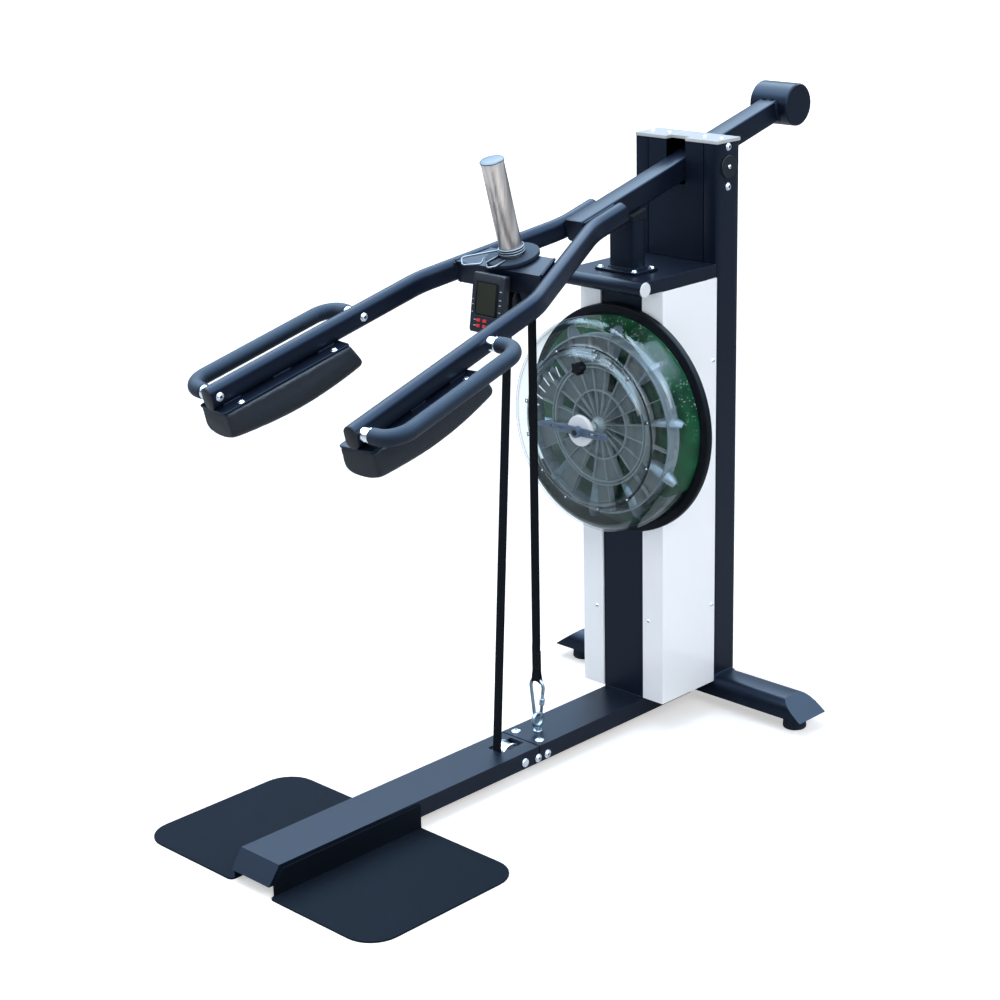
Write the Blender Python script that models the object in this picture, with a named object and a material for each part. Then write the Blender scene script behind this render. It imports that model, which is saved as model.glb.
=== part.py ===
"""Squat press machine with a water-tank resistance drum: a lever with shoulder pads, lifted against a strap.

Metres, +Z up. The user stands on the foot plates at -Y, facing the column. Every piece hangs under the
empty "machine", whose own frame has y = 0 at the column's front face and z = 0 at the floor. Pieces of the
lever hang under the empty "lever" at the pivot, whose -Y axis runs forwards along the arm.
"""

import bmesh
import bpy
from math import acos, asin, atan, atan2, cos, degrees, hypot, pi, radians, sin, sqrt, tan
from mathutils import Matrix, Vector

# Clearance between two pieces that touch, and running clearance of a turning piece
GAP = 0.0003
RUN = 0.0006
# How far a cutter runs past the face it opens, and how far joined solids run into each other
OVER = 0.01
WELD = 0.001

# Base beam: two folded channels, open below, joined by a splice
BEAM_WIDTH = 0.120
BEAM_HEIGHT = 0.040
BEAM_LIFT = 0.026
BEAM_WALL = 0.004
BEAM_FRONT = -1.130
NOSE_REACH = 0.030
SPLIT_Y = -0.360
SPLICE_IN = 0.012
SPLICE_OUT = 0.044
SPLICE_LIFT = 0.002

# Foot plates: sheet with the inner edge turned up against the beam
PLATE_FRONT = -1.1616
PLATE_REAR = -0.737
PLATE_REACH = 0.366
PLATE_SHEET = 0.004
PLATE_CORNER = 0.068
PLATE_INNER_CORNER = 0.012
FLANGE_HEIGHT = 0.032

# Rear foot: D-shaped tube across the machine, on two rubber pads
FOOT_LENGTH = 0.776
FOOT_DEPTH = 0.100
FOOT_HEIGHT = 0.044
FOOT_SHOULDER = 0.028
FOOT_DROP = 0.034
FOOT_WALL = 0.004
FOOT_END_SLOPE = 0.060
PAD_HEIGHT = 0.036
PAD_RADIUS = 0.028
PAD_PLACE = 0.336
STUD_RADIUS = 0.005

# Uprights
UPRIGHT_WIDTH = 0.040
UPRIGHT_DEPTH = 0.080
UPRIGHT_WALL = 0.003
UPRIGHT_OUTER = 0.1206
UPRIGHT_FRONT = 0.186
UPRIGHT_TOP = 1.361
UPRIGHT_CORNER = 0.005
TOP_SHEET = 0.008
TOP_OVERHANG = 0.004
NOTCH_DEPTH = 0.022

# Column: folded channel behind the tank
COLUMN_WIDTH = 0.1236
COLUMN_DEPTH = 0.150
COLUMN_WALL = 0.003
COLUMN_LIP = 0.016

# Panels
PANEL_SHEET = 0.0025
PANEL_REACH = 0.1233
PANEL_BOTTOM = 0.070
PANEL_PROUD = 0.0046
PANEL_RETURN = 0.030
PANEL_TOP_GAP = 0.0006
COVER_SHEET = 0.003
ARM_SLOT_PLAY = 0.003
SLOT_ROOM_FRONT = 0.008
SLOT_ROOM_BACK = 0.060
UPRIGHT_LAP = 0.022

# Shelf and stop post
SHELF_TOP = 1.0906
SHELF_SHEET = 0.004
SHELF_SKIRT = 0.030
SHELF_NOSE_Y = -0.0621
SHELF_TUBE_RADIUS = 0.0165
CAP_THICKNESS = 0.003
CAP_RADIUS = 0.0172
CAP_PLUG = 0.014
POST_WIDTH = 0.073
POST_DEPTH = 0.044
POST_Y = 0.0186
POST_WALL = 0.003
POST_TOP = 1.206
BUMPER_LIP = 0.001
BUMPER_PLUG = 0.012
POST_PLATE_WIDTH = 0.122
POST_PLATE_DEPTH = 0.080
POST_PLATE_SHEET = 0.006
POST_PLATE_Y = 0.014

# Lever: arm, pivot and counterweight
PIVOT_Y = 0.226
PIVOT_Z = 1.307
LEVER_SLOPE = radians(15.05)
ARM_SIZE = 0.050
ARM_WALL = 0.003
ARM_FRONT = 0.391
ARM_CORNER = 0.004
WEIGHT_REACH = 0.360
WEIGHT_RADIUS = 0.050
WEIGHT_LENGTH = 0.108
WEIGHT_EDGE = 0.003
AXLE_RADIUS = 0.0125
BEARING_RADIUS = 0.021
BEARING_CAP_RADIUS = 0.026
BEARING_CAP = 0.003

# Lever: side tubes, bent twice in the lever's plane
TUBE_WIDTH = 0.034
TUBE_WALL = 0.003
TUBE_REAR = 0.283
TUBE_FIRST_BEND = 0.385
TUBE_SECOND_BEND = 0.715
TUBE_FRONT = 1.290
TUBE_SECOND_OUT = 0.173
TUBE_FRONT_OUT = 0.2155
TUBE_BEND_RADIUS = 0.160
END_PLUG = 0.004

# Lever: crossbar with the upper pulley's fork
CROSSBAR_REAR = 0.563
CROSSBAR_FRONT = 0.643
CROSSBAR_WALL = 0.004
EAR_SHEET = 0.005
EAR_WIDTH = 0.036
UPPER_PULLEY_REACH = 0.596
UPPER_PULLEY_ROOM = 0.003

# Lever: weight post
WEIGHT_POST_REACH = 0.590
WEIGHT_POST_RADIUS = 0.025
WEIGHT_POST_WALL = 0.003
WEIGHT_POST_TOP = 0.2465
POST_CAP_RADIUS = 0.0268
POST_CAP_SHEET = 0.004
DISC_RADIUS = 0.059
DISC_THICKNESS = 0.010
COLLAR_WIRE = 0.0021
COLLAR_PLAY = 0.0006
COLLAR_TURNS = 3
COLLAR_RISE = 0.016
COLLAR_BEND = 0.006
COLLAR_START = radians(-128)
COLLAR_SHORTFALL = radians(17)

# Lever: handles and shoulder pads
HANDLE_REAR = 0.887
HANDLE_FRONT = 1.272
HANDLE_REACH = 0.100
HANDLE_BEND = 0.046
ROD_RADIUS = 0.011
RING_RADIUS = 0.0155
RING_LENGTH = 0.018
GRIP_RADIUS = 0.017
BOLT_RADIUS = 0.0045
PAD_SEAT_SHEET = 0.004
SHOULDER_PAD_WIDTH = 0.101
SHOULDER_PAD_DEPTH = 0.064
SHOULDER_PAD_BELLY = 0.014
SHOULDER_PAD_SWELL = 0.005
SHOULDER_PAD_REAR = 0.952
SHOULDER_PAD_FRONT = 1.289
SHOULDER_PAD_RAKE = 0.030
SHOULDER_PAD_ROUND = 0.019

# Lever: monitor
MONITOR_WIDTH = 0.092
MONITOR_HEIGHT = 0.128
MONITOR_DEPTH = 0.024
MONITOR_TOP_REACH = 0.668
MONITOR_TOP_RISE = 0.024
MONITOR_TILT = radians(23.6)
MONITOR_CORNER = 0.005
TONGUE_SPAN = (0.016, 0.050)
TONGUE_HALF = 0.018
LENS_WIDTH = 0.066
LENS_HEIGHT = 0.072
LENS_SHEET = 0.002
LENS_DROP = 0.0185
BUTTON_COLUMNS = (-0.019, -0.001)
BUTTON_ROWS = (0.0105, 0.0225)
BUTTON_WIDTH = 0.010
BUTTON_HEIGHT = 0.0065
BUTTON_PROUD = 0.002
BUTTON_DEPTH = 0.008
BUTTON_TRAVEL = 0.0015

# Tank
TANK_Z = 0.7494
TANK_FACETS = 40
TANK_DISC_RIM = 0.017
TANK_DISC = 0.015
TANK_RADIUS = 0.250
TANK_WALL = 0.005
TANK_SHOULDER = 0.026
TANK_FACE = -0.111
SEAM_INSET = 0.064
SEAM_LIP = 0.006
SEAM_STEP = 0.010
COVER_WALL = 0.0045
COVER_FACE = -0.140
COVER_SLOPE = 0.012
DIAL_RADIUS = 0.036
DIAL_THICKNESS = 0.010
STEM_RADIUS = 0.011
STEM_END = -0.104
SELECTOR_LONG = 0.120
SELECTOR_SHORT = 0.088
SELECTOR_HEIGHT = 0.019
SELECTOR_SHEET = 0.005
SELECTOR_BOSS_RADIUS = 0.013
SELECTOR_BOSS = 0.010
SELECTOR_SLOT = 0.006
PLUG_INSET = 0.040
PLUG_RADIUS = 0.016
PLUG_SHANK = 0.009
PLUG_HEIGHT = 0.018
PLUG_LOBES = 5
PLUG_LOBE = 0.0022
SHAFT_RADIUS = 0.008
PADDLES = 10
PADDLE_TURN = radians(9)
PADDLE_INNER = 0.050
PADDLE_ROOM = 0.017
PADDLE_SHEET = 0.003
PADDLE_FRONT = -0.088
PADDLE_REAR = -0.034
RING_INNER = 0.132
RING_OUTER = 0.140

# Drive inside the column
SPOOL_RADIUS = 0.038
SPOOL_FLANGE = 0.054
SPOOL_SHEET = 0.003
SPOOL_ROOM = 0.002
SPOOL_FRONT = 0.026
HOUSING_END = 0.022
HOUSING_RADIUS = 0.026
CASE_RADIUS = 0.050
CASE_DEPTH = 0.030
CASE_SEAT = 0.010
BRACKET_SHEET = 0.004
BRACKET_HEIGHT = 0.090
HUB_RADIUS = 0.018

# Strap and its pulleys
STRAP_WIDTH = 0.025
STRAP_THICKNESS = 0.002
STRAP_PLAY = 0.003
LOOP_RISE = 0.014
PULLEY_SIDE = 0.003
SLOT_SIDE = 0.004
SLOT_END = 0.0045
SLOT_CORNER = 0.004
UPPER_PULLEY_GROOVE = 0.0347
UPPER_PULLEY_RADIUS = 0.040
BASE_PULLEY_Y = -0.408
BASE_PULLEY_Z = 0.041
BASE_PULLEY_GROOVE = 0.0287
BASE_PULLEY_RADIUS = 0.033
IDLER_Y = 0.075
IDLER_Z = 0.084
IDLER_PIN = 0.012
IDLER_BLOCK_DEPTH = 0.028
IDLER_BLOCK_HEIGHT = 0.034
IDLER_GROOVE = 0.0217
IDLER_RADIUS = 0.026
PIN_RADIUS = 0.005
BOLT_HEAD_RADIUS = 0.0105
BOLT_HEAD = 0.0025

# Anchor of the strap
EYE_Y = -0.302
EYE_WIRE = 0.0045
EYE_RADIUS = 0.0150
EYE_COLLAR = 0.011
EYE_COLLAR_HEIGHT = 0.004
EYE_RISE = 0.028
EYE_SHANK = 0.0043
EYE_NUT_RADIUS = 0.0095
EYE_NUT = 0.008
EYE_TIP = 0.004
HOOK_WIRE = 0.004
HOOK_LOW_RADIUS = 0.0105
HOOK_TOP_RADIUS = 0.019
HOOK_LENGTH = 0.066
HOOK_PLAY = 0.0006
GATE_WIRE = 0.0036
GATE_TIP = 0.0012
GATE_TAPER = 0.0024
SLEEVE_RADIUS = 0.0062
SLEEVE_ENDS = (0.42, 0.80)

# Faces that follow from the sizes above
BEAM_TOP = BEAM_LIFT + BEAM_HEIGHT
FOOT_TOP = PAD_HEIGHT + FOOT_HEIGHT
FOOT_Y = UPRIGHT_FRONT + UPRIGHT_DEPTH / 2
UPRIGHT_INNER = UPRIGHT_OUTER - UPRIGHT_WIDTH
UPRIGHT_REAR = UPRIGHT_FRONT + UPRIGHT_DEPTH
TOP_Z = UPRIGHT_TOP + GAP
SHELF_UNDER = SHELF_TOP - SHELF_SHEET
COLUMN_BOTTOM = BEAM_TOP + GAP
COLUMN_TOP = SHELF_UNDER - GAP
DISC_BACK = -PANEL_PROUD - GAP
DISC_FRONT = DISC_BACK - TANK_DISC
TANK_DISC_RADIUS = TANK_RADIUS + TANK_DISC_RIM
SEAM_RADIUS = TANK_RADIUS - SEAM_INSET
PLUG_RISE = SEAM_RADIUS - PLUG_INSET
PADDLE_OUTER = TANK_RADIUS - TANK_WALL - PADDLE_ROOM
ARM_HALF = ARM_SIZE / 2
ARM_SLOT = ARM_SIZE + 2 * ARM_SLOT_PLAY
UPPER_PULLEY_DROP = ARM_HALF + UPPER_PULLEY_RADIUS + UPPER_PULLEY_ROOM
TUBE_IN = ARM_HALF + GAP + TUBE_WIDTH / 2
PULLEY_WIDTH = STRAP_WIDTH + STRAP_PLAY + 2 * PULLEY_SIDE
SPOOL_WIDTH = STRAP_WIDTH + 2 * SPOOL_ROOM
BRACKET_Y = SPOOL_FRONT + 2 * SPOOL_SHEET + SPOOL_WIDTH + CASE_SEAT
CASE_Y = BRACKET_Y + BRACKET_SHEET + GAP
IDLER_PIN_END = IDLER_PIN + RUN
REAR_REACH = WEIGHT_REACH * cos(LEVER_SLOPE) + WEIGHT_RADIUS + PIVOT_Y
MACHINE_Y = -(PLATE_FRONT + REAR_REACH) / 2


# Materials: colour, roughness, metallic
FINISHES = {
    "black_paint": ((0.020, 0.023, 0.030), 0.45, 0.0),
    "white_panel": ((0.80, 0.84, 0.87), 0.18, 0.0),
    "rubber": ((0.012, 0.012, 0.013), 0.85, 0.0),
    "vinyl": ((0.014, 0.016, 0.022), 0.50, 0.0),
    "foam": ((0.018, 0.021, 0.028), 0.80, 0.0),
    "chrome": ((0.80, 0.82, 0.84), 0.12, 1.0),
    "brushed_steel": ((0.56, 0.52, 0.48), 0.32, 1.0),
    "zinc": ((0.62, 0.66, 0.70), 0.30, 1.0),
    "clear": ((0.82, 0.90, 0.88), 0.06, 0.0),
    "white_plastic": ((0.82, 0.84, 0.85), 0.35, 0.0),
    "black_plastic": ((0.018, 0.019, 0.022), 0.40, 0.0),
    "grey_plastic": ((0.30, 0.32, 0.33), 0.45, 0.0),
    "screen": ((0.10, 0.11, 0.085), 0.20, 0.0),
    "red_plastic": ((0.62, 0.04, 0.03), 0.40, 0.0),
    "webbing": ((0.010, 0.010, 0.012), 0.90, 0.0),
}


def clear_scene():
    for old in list(bpy.data.objects):
        bpy.data.objects.remove(old, do_unlink=True)


def material_of(finish):
    """The named finish as a Principled material, made once."""
    found = bpy.data.materials.get(finish)
    if found:
        return found
    colour, roughness, metallic = FINISHES[finish]
    made = bpy.data.materials.new(finish)
    made.use_nodes = True
    shader = made.node_tree.nodes["Principled BSDF"]
    shader.inputs["Base Color"].default_value = (*colour, 1.0)
    shader.inputs["Roughness"].default_value = roughness
    shader.inputs["Metallic"].default_value = metallic
    if finish == "clear":
        shader.inputs["Alpha"].default_value = 0.35
    return made


def empty(name, parent=None, place=(0, 0, 0), turn=(0, 0, 0)):
    made = bpy.data.objects.new(name, None)
    bpy.context.scene.collection.objects.link(made)
    made.parent = parent
    made.location = place
    made.rotation_euler = turn
    return made


def piece(name, shape, finish, parent, place=(0, 0, 0), turn=(0, 0, 0)):
    """One named object from a bmesh, with its faces turned out and round faces shaded smooth."""
    bmesh.ops.recalc_face_normals(shape, faces=shape.faces)
    mesh = bpy.data.meshes.new(name)
    shape.to_mesh(mesh)
    shape.free()
    mesh.shade_smooth()
    mesh.set_sharp_from_angle(angle=radians(32))
    mesh.materials.append(material_of(finish))
    made = bpy.data.objects.new(name, mesh)
    bpy.context.scene.collection.objects.link(made)
    made.parent = parent
    made.location = place
    made.rotation_euler = turn
    return made


def boolean(target, shape, operation="DIFFERENCE"):
    """Cuts a bmesh from the object, or joins it, with a hidden helper beside it."""
    helper = piece(f"{target.name}_{operation.lower()}_{len(target.modifiers)}", shape,
                   "grey_plastic", target.parent, target.location, target.rotation_euler)
    helper.hide_render = True
    helper.display_type = "WIRE"
    made = target.modifiers.new(operation.title(), "BOOLEAN")
    made.operation = operation
    made.solver = "EXACT"
    made.object = helper


def cut(target, *shapes):
    for shape in shapes:
        boolean(target, shape)


def join(target, *shapes):
    for shape in shapes:
        boolean(target, shape, "UNION")


# Outlines, as lists of points in a plane


def rectangle(width, height, at=(0, 0)):
    x, y = at
    return [(x - width / 2, y - height / 2), (x + width / 2, y - height / 2),
            (x + width / 2, y + height / 2), (x - width / 2, y + height / 2)]


def arc(centre, radius, start, end, steps):
    """Points on a circle between two angles, both ends included."""
    return [(centre[0] + radius * cos(start + (end - start) * i / steps),
             centre[1] + radius * sin(start + (end - start) * i / steps)) for i in range(steps + 1)]


def rounded(width, height, radius, steps=3, at=(0, 0)):
    """A rectangle with round corners."""
    points = []
    for i, (sx, sy) in enumerate([(1, 1), (-1, 1), (-1, -1), (1, -1)]):
        centre = (at[0] + sx * (width / 2 - radius), at[1] + sy * (height / 2 - radius))
        points += arc(centre, radius, i * pi / 2, (i + 1) * pi / 2, steps)
    return points


def circle(radius, steps, at=(0, 0)):
    return arc(at, radius, 0, 2 * pi, steps)[:-1]


def stadium(width, height, steps=8):
    """Flat sides and two half-round ends, the ends at top and bottom."""
    r = width / 2
    return (arc((0, height / 2 - r), r, 0, pi, steps) + arc((0, r - height / 2), r, pi, 2 * pi, steps))


def rounded_path(corners, radius, steps):
    """An open path through the corners, with each inner corner turned into an arc."""
    corners = [Vector(c) for c in corners]
    points = [corners[0]]
    for before, corner, after in zip(corners, corners[1:], corners[2:]):
        back, on = (before - corner).normalized(), (after - corner).normalized()
        half = back.angle(on) / 2
        bisector = (back + on).normalized()
        centre = corner + bisector * (radius / sin(half))
        first = corner + back * (radius / tan(half))
        last = corner + on * (radius / tan(half))
        turn = pi - 2 * half
        for i in range(steps + 1):
            part = i / steps
            if turn < 1e-6:
                points.append(first.lerp(last, part))
                continue
            a = sin((1 - part) * turn) / sin(turn)
            b = sin(part * turn) / sin(turn)
            points.append(centre + (first - centre) * a + (last - centre) * b)
    return points + [corners[-1]]


# Shapes


def in_space(axis, point, along):
    """A point of an outline set in the plane square to the axis, at a place along it."""
    u, v = point
    return {"X": (along, u, v), "Y": (u, along, v), "Z": (u, v, along)}[axis]


def prism(outline, axis, start, end, shape=None):
    """The outline drawn out along an axis."""
    shape = shape or bmesh.new()
    face = shape.faces.new([shape.verts.new(in_space(axis, p, start)) for p in outline])
    grown = bmesh.ops.extrude_face_region(shape, geom=[face])["geom"]
    step = Vector(in_space(axis, (0, 0), end - start))
    bmesh.ops.translate(shape, vec=step, verts=[g for g in grown if isinstance(g, bmesh.types.BMVert)])
    return shape


def skin(rings, closed_path=False, shape=None, ends=True):
    """Quads between rings of equal count, with the first and last ring filled."""
    shape = shape or bmesh.new()
    rows = [[shape.verts.new(p) for p in ring] for ring in rings]
    pairs = list(zip(rows, rows[1:])) + ([(rows[-1], rows[0])] if closed_path else [])
    for a, b in pairs:
        for i in range(len(a)):
            j = (i + 1) % len(a)
            shape.faces.new([a[i], a[j], b[j], b[i]])
    if ends and not closed_path:
        shape.faces.new(rows[0])
        shape.faces.new(list(reversed(rows[-1])))
    return shape


def pipe(outer, inner, axis, start, end):
    """A hollow prism: both outlines have as many points, and the ends are open."""
    shape = bmesh.new()
    outside = [[shape.verts.new(in_space(axis, p, h)) for p in outer] for h in (start, end)]
    inside = [[shape.verts.new(in_space(axis, p, h)) for p in inner] for h in (start, end)]
    count = len(outer)
    for i in range(count):
        j = (i + 1) % count
        shape.faces.new([outside[0][i], outside[0][j], outside[1][j], outside[1][i]])
        shape.faces.new([inside[0][j], inside[0][i], inside[1][i], inside[1][j]])
        shape.faces.new([outside[0][j], outside[0][i], inside[0][i], inside[0][j]])
        shape.faces.new([outside[1][i], outside[1][j], inside[1][j], inside[1][i]])
    return shape


def turned(profile, axis, segments, centre=(0, 0, 0)):
    """The closed profile, as points (radius, along), turned round the axis. A radius of 0 is a pole."""
    shape = bmesh.new()
    rows = []
    for radius, along in profile:
        if radius == 0:
            rows.append([shape.verts.new(Vector(in_space(axis, (0, 0), along)) + Vector(centre))])
        else:
            rows.append([shape.verts.new(Vector(in_space(axis, p, along)) + Vector(centre))
                         for p in circle(radius, segments)])
    for a, b in zip(rows, rows[1:] + rows[:1]):
        for i in range(segments):
            j = (i + 1) % segments
            if len(a) == 1 and len(b) == 1:
                break
            if len(a) == 1:
                shape.faces.new([a[0], b[j], b[i]])
            elif len(b) == 1:
                shape.faces.new([a[i], a[j], b[0]])
            else:
                shape.faces.new([a[i], a[j], b[j], b[i]])
    return shape


def rod(radius, axis, start, end, segments=20, at=(0, 0)):
    return prism(circle(radius, segments, at), axis, start, end)


ACROSS, ALONG, UPRIGHT = Vector((1, 0, 0)), Vector((0, 1, 0)), Vector((0, 0, 1))


def swept(path, section, side, closed=False):
    """The section carried along the path. Its first axis starts at side and turns as little as it can."""
    path = [Vector(p) for p in path]
    rings = []
    across = Vector(side)
    last = len(path) - 1
    for i, point in enumerate(path):
        before = path[i - 1] if (i or closed) else point
        after = path[(i + 1) % len(path)] if (i < last or closed) else point
        along = (after - before).normalized()
        across = (across - along * across.dot(along)).normalized()
        upright = along.cross(across)
        rings.append([point + across * a + upright * b for a, b in section])
    return skin(rings, closed_path=closed)


# Base


def pulley_slot(radius, at):
    """Cutter for the slot in the beam's top that a pulley and the strap come through."""
    return prism(rounded(PULLEY_WIDTH + 2 * SLOT_SIDE, 2 * (radius + SLOT_END), SLOT_CORNER, 3, (0, at)),
                 "Z", BEAM_LIFT + BEAM_HEIGHT / 2, BEAM_TOP + OVER)


def splice_outline(reach, low, high):
    return [(-reach, low), (reach, low), (reach, high), (-reach, high)]


def build_front_beam(machine):
    half = BEAM_WIDTH / 2
    rear = SPLIT_Y - GAP
    nose = BEAM_FRONT - NOSE_REACH
    outline = [(nose, BEAM_LIFT), (rear, BEAM_LIFT), (rear, BEAM_TOP), (BEAM_FRONT, BEAM_TOP)]
    ceiling = BEAM_TOP - BEAM_WALL
    slope = NOSE_REACH / BEAM_HEIGHT
    thick = BEAM_WALL * 1.25
    inner = [(nose + thick - slope * 0.01, BEAM_LIFT - OVER), (rear + OVER, BEAM_LIFT - OVER),
             (rear + OVER, ceiling), (BEAM_FRONT + thick - slope * BEAM_WALL, ceiling)]
    beam = piece("front_beam", prism(outline, "X", -half, half), "black_paint", machine)
    cut(beam, prism(inner, "X", BEAM_WALL - half, half - BEAM_WALL),
        pulley_slot(BASE_PULLEY_RADIUS, BASE_PULLEY_Y))
    for sx in (-1, 1):
        cut(beam, rod(PIN_RADIUS + GAP, "X", sx * half - OVER, sx * half + OVER, 16,
                      (BASE_PULLEY_Y, BASE_PULLEY_Z)))
    # Splice: a sleeve welded inside the front channel that the rear channel slides over
    inside = half - BEAM_WALL
    bore = splice_outline(inside - BEAM_WALL, BEAM_LIFT + SPLICE_LIFT, ceiling - BEAM_WALL)
    welded = splice_outline(inside + WELD, BEAM_LIFT + WELD, ceiling + WELD)
    loose = splice_outline(inside - GAP, BEAM_LIFT + WELD, ceiling - GAP)
    join(beam, pipe(welded, bore, "Y", rear - SPLICE_IN, rear),
         pipe(loose, bore, "Y", rear - SPLICE_IN / 3, SPLIT_Y + SPLICE_OUT))
    # Its floor is open in the middle for the strap
    cut(beam, prism(rectangle(STRAP_WIDTH + 2 * STRAP_PLAY, SPLICE_IN + 2 * SPLICE_OUT, (0, SPLIT_Y)),
                    "Z", BEAM_LIFT - OVER, BEAM_LIFT + SPLICE_LIFT + OVER))


def build_rear_beam(machine):
    half = BEAM_WIDTH / 2
    rear = FOOT_Y - FOOT_DEPTH / 2 - GAP
    ceiling = BEAM_TOP - BEAM_WALL
    outline = rectangle(BEAM_WIDTH, BEAM_HEIGHT, (0, BEAM_LIFT + BEAM_HEIGHT / 2))
    beam = piece("rear_beam", prism(outline, "Y", SPLIT_Y, rear), "black_paint", machine)
    core = [(BEAM_WALL - half, BEAM_LIFT - OVER), (half - BEAM_WALL, BEAM_LIFT - OVER),
            (half - BEAM_WALL, ceiling), (BEAM_WALL - half, ceiling)]
    cut(beam, prism(core, "Y", SPLIT_Y - OVER, rear + OVER))
    cut(beam, pulley_slot(IDLER_RADIUS, IDLER_Y),
        rod(EYE_WIRE + GAP, "Z", ceiling - OVER, BEAM_TOP + OVER, 16, (0, EYE_Y)))


def build_foot_plate(machine, side, name):
    """Flat plate on the floor, its inner edge folded up against the beam's side."""
    inner = BEAM_WIDTH / 2 + GAP
    outline = [(inner, PLATE_REAR)]
    outline += arc((inner + PLATE_INNER_CORNER, PLATE_FRONT + PLATE_INNER_CORNER), PLATE_INNER_CORNER,
                   pi, 1.5 * pi, 4)
    outline += arc((PLATE_REACH - PLATE_CORNER, PLATE_FRONT + PLATE_CORNER), PLATE_CORNER,
                   1.5 * pi, 2 * pi, 8)
    outline += arc((PLATE_REACH - PLATE_CORNER, PLATE_REAR - PLATE_CORNER), PLATE_CORNER, 0, pi / 2, 8)
    plate = piece(name, prism([(side * x, y) for x, y in outline], "Z", 0, PLATE_SHEET),
                  "rubber", machine)
    start = PLATE_FRONT + PLATE_INNER_CORNER
    high = BEAM_LIFT + FLANGE_HEIGHT
    slope = NOSE_REACH / BEAM_HEIGHT * FLANGE_HEIGHT
    flange = [(PLATE_REAR, 0.0005), (start, 0.0005), (start, BEAM_LIFT), (start + slope, high),
              (PLATE_REAR, high)]
    join(plate, prism(flange, "X", side * inner, side * (inner + PLATE_SHEET)))


def foot_section(grow=0.0):
    """The rear foot's D outline in (y, z): flat below, elliptical shoulders above."""
    half = FOOT_DEPTH / 2
    across, down = FOOT_SHOULDER + grow, FOOT_DROP + grow
    points = [(FOOT_Y - half - grow, PAD_HEIGHT - grow), (FOOT_Y + half + grow, PAD_HEIGHT - grow)]
    for side, start in ((1, 0), (-1, pi / 2)):
        centre = (FOOT_Y + side * (half - FOOT_SHOULDER), FOOT_TOP - FOOT_DROP)
        points += [(centre[0] + across * cos(start + a), centre[1] + down * sin(start + a))
                   for a in (pi / 2 * k / 5 for k in range(6))]
    return points


def end_wedge(side, reach):
    """Cutter for the foot's slanted end, in front view."""
    foot = side * reach
    low, high = PAD_HEIGHT - OVER, FOOT_TOP + OVER
    slope = FOOT_END_SLOPE / FOOT_HEIGHT
    outline = [(foot + side * slope * 0.01, low), (foot + side * 0.2, low), (foot + side * 0.2, high),
               (foot - side * slope * (FOOT_HEIGHT + OVER), high)]
    return prism(outline, "Y", FOOT_Y - FOOT_DEPTH, FOOT_Y + FOOT_DEPTH)


def build_rear_foot(machine):
    half = FOOT_LENGTH / 2
    foot = piece("rear_foot", prism(foot_section(), "X", -half, half), "black_paint", machine)
    cut(foot, end_wedge(1, half), end_wedge(-1, half))
    inset = FOOT_WALL * 1.6
    slope = FOOT_END_SLOPE / FOOT_HEIGHT
    cut(foot, skin([[(side * (half - inset - slope * (z - PAD_HEIGHT)), y, z)
                     for y, z in foot_section(-FOOT_WALL)] for side in (-1, 1)]))
    for side in (-1, 1):
        cut(foot, rod(STUD_RADIUS + GAP, "Z", PAD_HEIGHT - 0.005, PAD_HEIGHT + FOOT_WALL + 0.004, 16,
                      (side * PAD_PLACE, FOOT_Y)))


def build_rear_pads(machine):
    for side, name in ((-1, "rear_pad_left"), (1, "rear_pad_right")):
        top = PAD_HEIGHT - GAP
        tip = top + 0.014
        profile = [(0, 0), (PAD_RADIUS - 0.002, 0), (PAD_RADIUS, 0.003), (PAD_RADIUS - 0.001, PAD_HEIGHT / 2),
                   (PAD_RADIUS - 0.005, top), (STUD_RADIUS, top), (STUD_RADIUS, tip), (0, tip)]
        piece(name, turned(profile, "Z", 20, (side * PAD_PLACE, FOOT_Y, 0)), "rubber", machine)


# Column, uprights and covers


def build_column(machine):
    half = COLUMN_WIDTH / 2
    inner = half - COLUMN_WALL
    outline = [(-half, 0), (half, 0), (half, COLUMN_DEPTH), (half - COLUMN_LIP, COLUMN_DEPTH),
               (half - COLUMN_LIP, COLUMN_DEPTH - COLUMN_WALL), (inner, COLUMN_DEPTH - COLUMN_WALL),
               (inner, COLUMN_WALL), (-inner, COLUMN_WALL), (-inner, COLUMN_DEPTH - COLUMN_WALL),
               (COLUMN_LIP - half, COLUMN_DEPTH - COLUMN_WALL), (COLUMN_LIP - half, COLUMN_DEPTH),
               (-half, COLUMN_DEPTH)]
    column = piece("centre_column", prism(outline, "Z", COLUMN_BOTTOM, COLUMN_TOP), "black_paint", machine)
    # Bearing housing welded behind the front sheet
    join(column, rod(HOUSING_RADIUS, "Y", WELD, HOUSING_END, 16, (0, TANK_Z)))
    cut(column, rod(SHAFT_RADIUS + RUN, "Y", -0.01, HOUSING_END + OVER, 16, (0, TANK_Z)))
    # Cross strap that holds the rewind case, tied to both side walls
    join(column, prism(rectangle(COLUMN_WIDTH - 2 * WELD, BRACKET_HEIGHT, (0, TANK_Z)),
                       "Y", BRACKET_Y, BRACKET_Y + BRACKET_SHEET))
    cut(column, rod(SHAFT_RADIUS + 0.004, "Y", BRACKET_Y - BRACKET_SHEET, CASE_Y + OVER, 16, (0, TANK_Z)))
    # Blocks at the foot of the side walls that carry the idler's pin
    middle = (IDLER_Y, COLUMN_BOTTOM + 0.0005 + IDLER_BLOCK_HEIGHT / 2)
    for side in (-1, 1):
        start = side * (PULLEY_WIDTH / 2 + RUN)
        join(column, prism(rectangle(IDLER_BLOCK_DEPTH, IDLER_BLOCK_HEIGHT, middle),
                           "X", start, side * (inner + WELD)))
        cut(column, rod(PIN_RADIUS + RUN, "X", start - side * OVER / 2, start + side * IDLER_PIN_END, 16,
                        (IDLER_Y, IDLER_Z)))


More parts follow.
